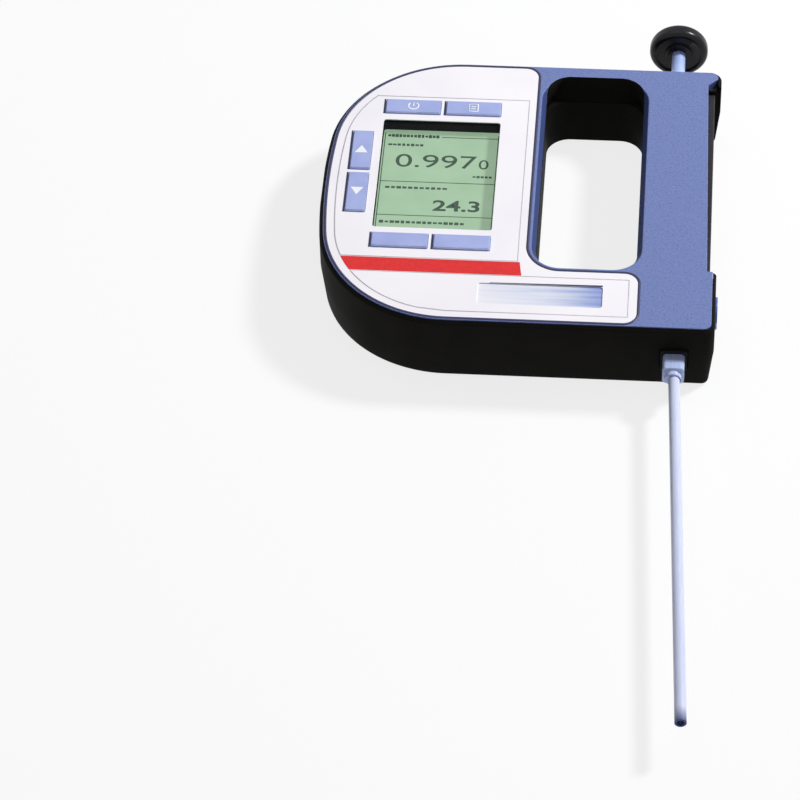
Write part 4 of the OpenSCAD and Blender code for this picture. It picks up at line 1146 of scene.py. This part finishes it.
@dataclass
class FrontLabel(SubAssembly):
    """White front sheet with its printed lines and its stripe."""

    top: float = 28.0
    sheet_edge: float = 0.08
    corner: Point = (-22.54, 20.25)
    corner_r: float = 47.0
    flank_x: float = 189.5
    flank_r: float = 260.0
    flank_y: float = 24.72
    line_w: float = 0.45
    edge_w: float = 1.0
    edge_out: float = 0.3
    framed: Sequence[Zone] = (
        Zone(inset=5.5, low=-36.25, high=47.25, right=1.2, steps=48),
        Zone(inset=5.5, low=-61.75, high=-43.6, right=40.4, steps=16),
    )
    stripe: Zone = Zone(inset=5.3, low=-43.3, high=-36.65, right=2.0, steps=12, slant=0.9)

    def flank(self, inset: float, y: float) -> Point:
        """Finds a point on the round side of the case.

        Args:
            inset: Distance inside the outline.
            y: Height along the case.

        Returns:
            The point.
        """
        if abs(y) < self.flank_y:
            return self.flank_x - math.sqrt((self.flank_r - inset) ** 2 - y * y), y
        rise = abs(y) - self.corner[1]
        return self.corner[0] - math.sqrt((self.corner_r - inset) ** 2 - rise * rise), y

    def outline(self, zone: Zone) -> list[Point]:
        """Finds the outline of a zone.

        Args:
            zone: The zone.

        Returns:
            Its corners and the points along its round side.
        """
        heights = [zone.low + (zone.high - zone.low) * i / zone.steps for i in range(zone.steps + 1)]
        side = [self.flank(zone.inset, y) for y in heights]
        return [*side, (zone.right, zone.high), (zone.right + zone.slant, zone.low)]

    def build(self) -> None:
        """Softens the sheet and prints on it."""
        soften("front_label", LABEL_WHITE, self.sheet_edge)
        z = self.top + PRINT_T / 2
        pen = LineTree(GREY_INK)
        lines = [pen.draw(self.outline(zone), z, self.line_w, ring=True) for zone in self.framed]
        add_piece("label_lines", joined(lines), GREY_INK)
        rim = grown(top_outlines("front_label")[0], self.edge_out)
        add_piece("label_edge", LineTree(NAVY_INK_AND_PAINTED_SHADOW).draw(rim, z, self.edge_w, ring=True), NAVY_INK_AND_PAINTED_SHADOW)
        add_piece("label_stripe", printed(self.outline(self.stripe), self.top), RED_INK)


@dataclass
class Display(SubAssembly):
    """Display panel with its figures, frame and pane."""

    KEPT = {"lcd_panel": LCD_GREEN, "lcd_frame": CASE_BLACK}
    top: float = 23.0
    left: float = -50.3
    right: float = -9.3
    bottom: float = -20.95
    side_top: float = 33.05
    print_z: float = 23.02
    rules: Sequence[float] = (7.55, -9.85)
    rule_w: float = 0.32
    head_rule: Point = (-29.8, 31.45)
    bar_low: float = -20.35
    bar_high: float = -16.35
    bar_inset: float = 0.7
    bar_gap: float = 1.2
    pane_edge: float = 0.1
    # Figures, low and high corner of their box, and how much their strokes are thickened
    numbers: Sequence[tuple[str, Point, Point, float]] = (
        ("0.997", (-45.6, 15.25), (-16.4, 21.95), 0.0),
        ("0", (-15.6, 15.25), (-12.1, 20.15), 0.0),
        ("24.3", (-30.8, -7.15), (-14.0, -1.55), 0.022),
    )
    # Low and high corner of each row of small writing, and its number of dashes
    rows: Sequence[tuple[Point, Point, int]] = (
        ((-49.4, 30.75), (-30.6, 32.45), 14),
        ((-49.0, 26.15), (-36.0, 27.55), 8),
        ((-17.6, 10.55), (-10.4, 11.75), 5),
        ((-48.6, 3.65), (-26.0, 5.15), 11),
        ((-49.4, -14.15), (-18.8, -12.65), 16),
    )

    def figures(self, text: str, low: Point, high: Point, bold: float) -> Mesh:
        """Sets figures into a box.

        Args:
            text: The figures.
            low: Low corner of their box.
            high: High corner of their box.
            bold: How much the strokes are thickened.

        Returns:
            Their mesh, in place.
        """
        type_set = bpy.data.curves.new("figures", "FONT")
        type_set.body = text
        type_set.offset = bold
        # Half of a thickness of 1, which the scale turns into that of a print
        type_set.extrude = 0.5
        mesh = settled(link("figures", type_set))
        spots = [v.co.copy() for v in mesh.vertices]
        floor = [min(p[i] for p in spots) for i in range(3)]
        roof = [max(p[i] for p in spots) for i in range(3)]
        scale = [(high[i] - low[i]) * MM / (roof[i] - floor[i]) for i in (0, 1)] + [PRINT_T * MM]
        move = [low[0] * MM, low[1] * MM, self.top * MM]
        for vertex, spot in zip(mesh.vertices, spots):
            vertex.co = [move[i] + (spot[i] - floor[i]) * scale[i] for i in range(3)]
        return mesh

    def build(self) -> None:
        """Prints the figures, rules, rows of small writing and bars, and softens the pane."""
        ink = [self.figures(*number) for number in self.numbers]
        paths = [[(self.left, y), (self.right, y)] for y in self.rules]
        paths.append([self.head_rule, (self.right, self.head_rule[1])])
        paths += [[(x, self.bottom), (x, self.side_top)] for x in (self.left, self.right)]
        pen = LineTree(LCD_INK)
        ink += [pen.draw(path, self.print_z, self.rule_w) for path in paths]
        dashes = DashTree(LCD_INK)
        for seed, (low, high, count) in enumerate(self.rows):
            ink.append(dashes.write(low, high, self.print_z, count, seed))
        add_piece("display_figures", joined(ink), LCD_INK)
        middle = (self.left + self.right) / 2
        ends = (
            (self.left + self.bar_inset, middle - self.bar_gap),
            (middle + self.bar_gap, self.right - self.bar_inset),
        )
        boxes = [corners_of((start, self.bar_low), (end, self.bar_high)) for start, end in ends]
        add_piece("display_bars", joined([printed(box, self.top, sink=0.0) for box in boxes]), LCD_BAR)
        soften("display_window", CLEAR_PANE, self.pane_edge)


@dataclass
class Key:
    """One key with its printed symbol, whose ring and page are shares of its half width and height."""

    node: str
    centre: Point
    symbol: Symbol = Symbol.BARE
    edge: float = 0.15
    top: float = 28.8
    sheet: float = 28.0
    symbol_w: float = 4.6
    symbol_h: float = 3.8
    line_w: float = 0.5
    # Width of the painted shadow left of the key, and how far it reaches above the key
    shade_w: float = 0.6
    shade_h: float = 0.2
    ring: Point = (0.8, 0.95)
    ring_start: float = 125.0
    ring_turn: float = 290.0
    ring_steps: int = 30
    page: float = 0.7
    page_line: float = 0.4
    page_line_y: float = 0.6

    def symbol_parts(self) -> list[Mesh]:
        """Prints the parts of the symbol.

        Returns:
            The mesh of each.
        """
        x, y = self.centre
        w, h = self.symbol_w / 2, self.symbol_h / 2
        if self.symbol is Symbol.UP:
            return [printed([(x - w, y - h), (x + w, y - h), (x, y + h)], self.top)]
        if self.symbol is Symbol.DOWN:
            return [printed([(x - w, y + h), (x, y - h), (x + w, y + h)], self.top)]
        if self.symbol is Symbol.BARE:
            return []
        pen = LineTree(WHITE_INK)
        z = self.top + PRINT_T / 2
        if self.symbol is Symbol.POWER:
            steps = self.ring_steps
            turns = [math.radians(self.ring_start + self.ring_turn * i / steps) for i in range(steps + 1)]
            across, up = w * self.ring[0], h * self.ring[1]
            arc = [(x + across * math.cos(turn), y + up * math.sin(turn)) for turn in turns]
            return [pen.draw(path, z, self.line_w) for path in (arc, [(x, y), (x, y + h)])]
        page, line = w * self.page, w * self.page_line
        outline = corners_of((x - page, y - h), (x + page, y + h))
        heights = (y - self.page_line_y, y + self.page_line_y)
        rows = [pen.draw([(x - line, row), (x + line, row)], z, self.line_w) for row in heights]
        return [pen.draw(outline, z, self.line_w, ring=True), *rows]

    def painted_shadow(self) -> None:
        """Prints a painted shadow, a dark navy band at the key's left and upper side on the sheet."""
        (x0, y0), (x1, y1) = opening_box(self.node)
        x, y = x0 - self.shade_w, y1 + self.shade_h
        outline = [(x, y0), (x0, y0), (x0, y1), (x1, y1), (x1, y), (x, y)]
        # The piece named for the key's edge is its painted shadow
        add_piece(self.node + "_edge", printed(outline, self.sheet), NAVY_INK_AND_PAINTED_SHADOW)

    def build(self) -> None:
        """Softens the key and prints its painted shadow and its symbol."""
        soften(self.node, KEY_BLUE, self.edge)
        self.painted_shadow()
        parts = self.symbol_parts()
        if parts:
            add_piece(self.node + "_symbol", joined(parts), WHITE_INK, self.node)


@dataclass
class Keypad(SubAssembly):
    """The six keys round the display."""

    keys: Sequence[Key] = (
        Key("key_power", (-40.75, 41.55), Symbol.POWER),
        Key("key_light", (-18.85, 41.55), Symbol.PAGE),
        Key("key_up", (-57.7, 17.7), Symbol.UP),
        Key("key_down", (-57.7, -4.2), Symbol.DOWN),
        Key("key_left", (-40.75, -28.05)),
        Key("key_right", (-18.85, -28.05)),
    )

    def build(self) -> None:
        """Builds each key."""
        for key in self.keys:
            key.build()


@dataclass
class MeasuringCell(SubAssembly):
    """Window, U-tube and block of the measuring cell."""

    KEPT = {
        "cell_block": CELL_METAL, "u_tube": CELL_GLASS, "drive_magnet": STEEL, "drive_coil": COPPER_WIRE,
        "cell_backlight": LIGHT_STRIP, "temperature_sensor": STEEL, "inlet_hose": HOSE_CLEAR,
        "outlet_hose": HOSE_CLEAR,
    }
    pane_edge: float = 0.1
    line_start: float = 4.0
    line_w: float = 0.75
    line_thin: float = 0.25
    sheet: float = 28.0

    def build(self) -> None:
        """Softens the pane and prints the dark line along its upper edge."""
        soften("cell_window", CELL_PANE, self.pane_edge)
        (x0, _), (x1, y1) = opening_box("cell_window")
        start = x0 + self.line_start
        outline = [(start, y1), (x1, y1), (x1, y1 + self.line_w), (start, y1 + self.line_thin)]
        add_piece("cell_line", printed(outline, self.sheet), NAVY_INK_AND_PAINTED_SHADOW)


@dataclass
class Inlet(SubAssembly):
    """Collar, fitting and filling tube, with the plugs beside them."""

    collar_edge: float = 0.25
    fitting_edge: float = 0.3
    tube_edge: float = 0.12
    plug_edge: float = 0.25
    screw_edge: float = 0.15

    def build(self) -> None:
        """Softens the pieces that show."""
        soften("inlet_collar", COLLAR_GREY, self.collar_edge)
        soften("tube_fitting", FITTING_BLUE, self.fitting_edge)
        soften("filling_tube", TUBE_CLEAR, self.tube_edge)
        soften("screw_plug", PLUG_BLUE, self.plug_edge)
        soften("retaining_screw", PLUG_BLUE, self.screw_edge)


@dataclass
class HandPump(SubAssembly):
    """Knob, rod, barrel and springs of the pump with its rod lock."""

    KEPT = {
        "pump_barrel": BARREL_CLEAR, "barrel_cap": COLLAR_GREY, "pump_piston": PISTON_WHITE,
        "piston_ring": RUBBER, "lock_plate": STEEL, "lock_pin": STEEL,
    }
    knob_edge: float = 0.2
    knob_angle: float = 40.0
    rod_edge: float = 0.2
    bush_edge: float = 0.15
    spring_wire: float = 1.0
    spring_turns: float = 12.0
    stroke: float = 19.0
    lock_wire: float = 0.6
    lock_turns: float = 3.0
    lock_travel: float = 0.55
    turn_steps: int = 24
    wire_sides: int = 10
    wire_smooth: float = 60.0

    def spring(self, node: str, wire: float, turns: float, joint: str, travel: float) -> None:
        """Winds a spring along the pump's axis in place of a CAD node.

        Args:
            node: CAD node that it stands for.
            wire: Diameter of the wire.
            turns: Number of turns.
            joint: Name of a joint; not used.
            travel: A length of travel; not used.
        """
        low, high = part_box(node)
        middle = (low + high) / 2
        length = (high.y - low.y) / MM
        radius = (high.x - low.x) / MM / 2 - wire / 2
        mesh = CoilTree(STEEL).run(
            Turns=turns, Radius=radius * MM, Height=(length - wire) * MM, Wire=wire / 2 * MM,
            Steps=self.turn_steps, Sides=self.wire_sides,
        )
        mesh.transform(Matrix.Translation((0, 0, wire / 2 * MM)))
        smooth(mesh, self.wire_smooth)
        mesh.transform(Matrix.Rotation(math.radians(-90), 4, "X"))
        foot = Vector((middle.x, low.y, middle.z))
        mesh.transform(Matrix.Translation(foot))
        piece = add_piece(node + "_wound", mesh, STEEL)
        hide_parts(node)
        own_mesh(piece)

    def build(self) -> None:
        """Softens what shows and winds the springs."""
        soften("pump_knob", KNOB_BLACK, self.knob_edge, self.knob_angle)
        soften("plunger_rod", ROD_STEEL, self.rod_edge)
        soften("rod_bush", BRASS, self.bush_edge)
        self.spring("pump_spring", self.spring_wire, self.spring_turns, "plunger_slide", self.stroke)
        self.spring("lock_spring", self.lock_wire, self.lock_turns, "lock_tilt", self.lock_travel)


@dataclass
class ReleaseTrigger(SubAssembly):
    """Long trigger in the handle side."""

    KEPT = {"trigger_pin": STEEL}
    edge: float = 0.35
    leaf_edge: float = 0.05
    leaf_keep: float = 0.66

    def build(self) -> None:
        """Softens the trigger and the leaf spring, which the trigger presses flatter."""
        soften("release_trigger", TRIGGER_GREY, self.edge)
        leaf = soften("trigger_spring", STEEL, self.leaf_edge)
        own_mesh(leaf)


def facing(place: Place, aim: Place) -> Quaternion:
    """The turn that points an object's -Z from one place to another."""
    return (Vector(aim) - Vector(place)).to_track_quat("-Z", "Y")


@dataclass(frozen=True)
class Lamp:
    """A soft studio lamp that points at a place."""

    name: str
    place: Place
    size: float
    power: float
    aim: Place = (0.0, 0.0, 0.0)

    def hang(self) -> None:
        """Puts the lamp into the scene."""
        data = bpy.data.lights.new(self.name, "AREA")
        data.shape = "DISK"
        data.size = self.size
        data.energy = self.power
        lamp = link(self.name, data)
        lamp.location = self.place
        lamp.rotation_euler = facing(self.place, self.aim).to_euler()


@dataclass
class Studio:
    """Floor, light and camera."""

    camera_place: Place = (0.0535, -1.02185, 0.9919)
    camera_aim: Place = (-0.037047, -0.081369, 0.003)
    camera_roll: float = -1.726
    camera_lens: float = 177.885
    camera_sensor: float = 36.0
    floor_half: float = 6.0
    floor_z: float = -0.0002
    floor_colour: Colour = (0.92, 0.92, 0.94, 1.0)
    floor_white: float = 0.8
    sky: float = 0.16
    lamps: Sequence[Lamp] = (
        Lamp("key_lamp", (1.0, 0.55, 1.15), size=0.25, power=27.0),
        Lamp("top_lamp", (-0.3, 0.2, 1.6), size=1.2, power=2.7),
    )

    @staticmethod
    def seen(work: NodeWork) -> Source:
        """Adds a value of 1 for rays from the camera, from gloss and through glass.

        Args:
            work: Node tree of the floor or the world.

        Returns:
            The value.
        """
        rays = work.add("ShaderNodeLightPath").outputs
        first = work.add("ShaderNodeMath", operation="ADD")
        second = work.add("ShaderNodeMath", operation="ADD", use_clamp=True)
        work.put_in_order(first, rays["Is Camera Ray"], rays["Is Glossy Ray"])
        work.put_in_order(second, first, rays["Is Transmission Ray"])
        return second

    def lay_floor(self) -> None:
        """Lays a pale floor that keeps the object's shadow and is clear from below."""
        mesh = bpy.data.meshes.new("floor")
        corners = corners_of((-self.floor_half, -self.floor_half), (self.floor_half, self.floor_half))
        mesh.from_pydata([(x, y, self.floor_z) for x, y in corners], [], [(0, 1, 2, 3)])
        floor = link("floor", mesh)
        paper = bpy.data.materials.new("studio_floor")
        paper.use_nodes = True
        mesh.materials.append(paper)
        work = NodeWork(paper.node_tree)
        work.tree.nodes.clear()
        matt = work.add("ShaderNodeBsdfDiffuse")
        glow = work.add("ShaderNodeEmission")
        share = work.add("ShaderNodeMath", operation="MULTIPLY")
        above = work.add("ShaderNodeMixShader")
        both = work.add("ShaderNodeMixShader")
        below = work.add("ShaderNodeBsdfTransparent")
        side = work.add("ShaderNodeNewGeometry").outputs["Backfacing"]
        work.put(matt, Color=self.floor_colour)
        work.put(glow, Color=linear(WHITE), Strength=1.0)
        work.put_in_order(share, self.seen(work), self.floor_white)
        work.put_in_order(above, share, matt, glow)
        work.put_in_order(both, side, above, below)
        work.put(work.add("ShaderNodeOutputMaterial"), Surface=both)

    def light(self) -> None:
        """Hangs the lamps and sets the sky."""
        for lamp in self.lamps:
            lamp.hang()
        world = bpy.data.worlds.new("studio")
        world.use_nodes = True
        bpy.context.scene.world = world
        work = NodeWork(world.node_tree)
        level = work.add("ShaderNodeMapRange")
        work.put(level, Value=self.seen(work), To_Min=self.sky, To_Max=1.0)
        work.put(work.tree.nodes["Background"], Color=linear(WHITE), Strength=level)

    def aim_camera(self) -> None:
        """Sets the camera where the photograph was taken from."""
        data = bpy.data.cameras.new("camera")
        data.sensor_width = self.camera_sensor
        data.lens = self.camera_lens
        camera = link("camera", data)
        roll = Matrix.Rotation(math.radians(self.camera_roll), 3, "Z")
        turn = facing(self.camera_place, self.camera_aim).to_matrix() @ roll
        camera.matrix_world = Matrix.Translation(self.camera_place) @ turn.to_4x4()
        bpy.context.scene.camera = camera

    def build(self) -> None:
        """Builds the whole studio."""
        self.lay_floor()
        self.light()
        self.aim_camera()
        bpy.context.scene.view_settings.view_transform = "Standard"


def main() -> None:
    """Builds the studio and every sub-assembly in order."""
    logging.basicConfig(level=logging.INFO, format="%(name)s: %(message)s")
    Studio().build()
    kinds = (CaseShell, FrontLabel, Display, Keypad, MeasuringCell, Inlet, HandPump, ReleaseTrigger)
    for kind in kinds:
        LOG.info("building %s", kind.__name__)
        assembly = kind()
        assembly.build()
        assembly.dress()


if __name__ == "__main__":
    main()
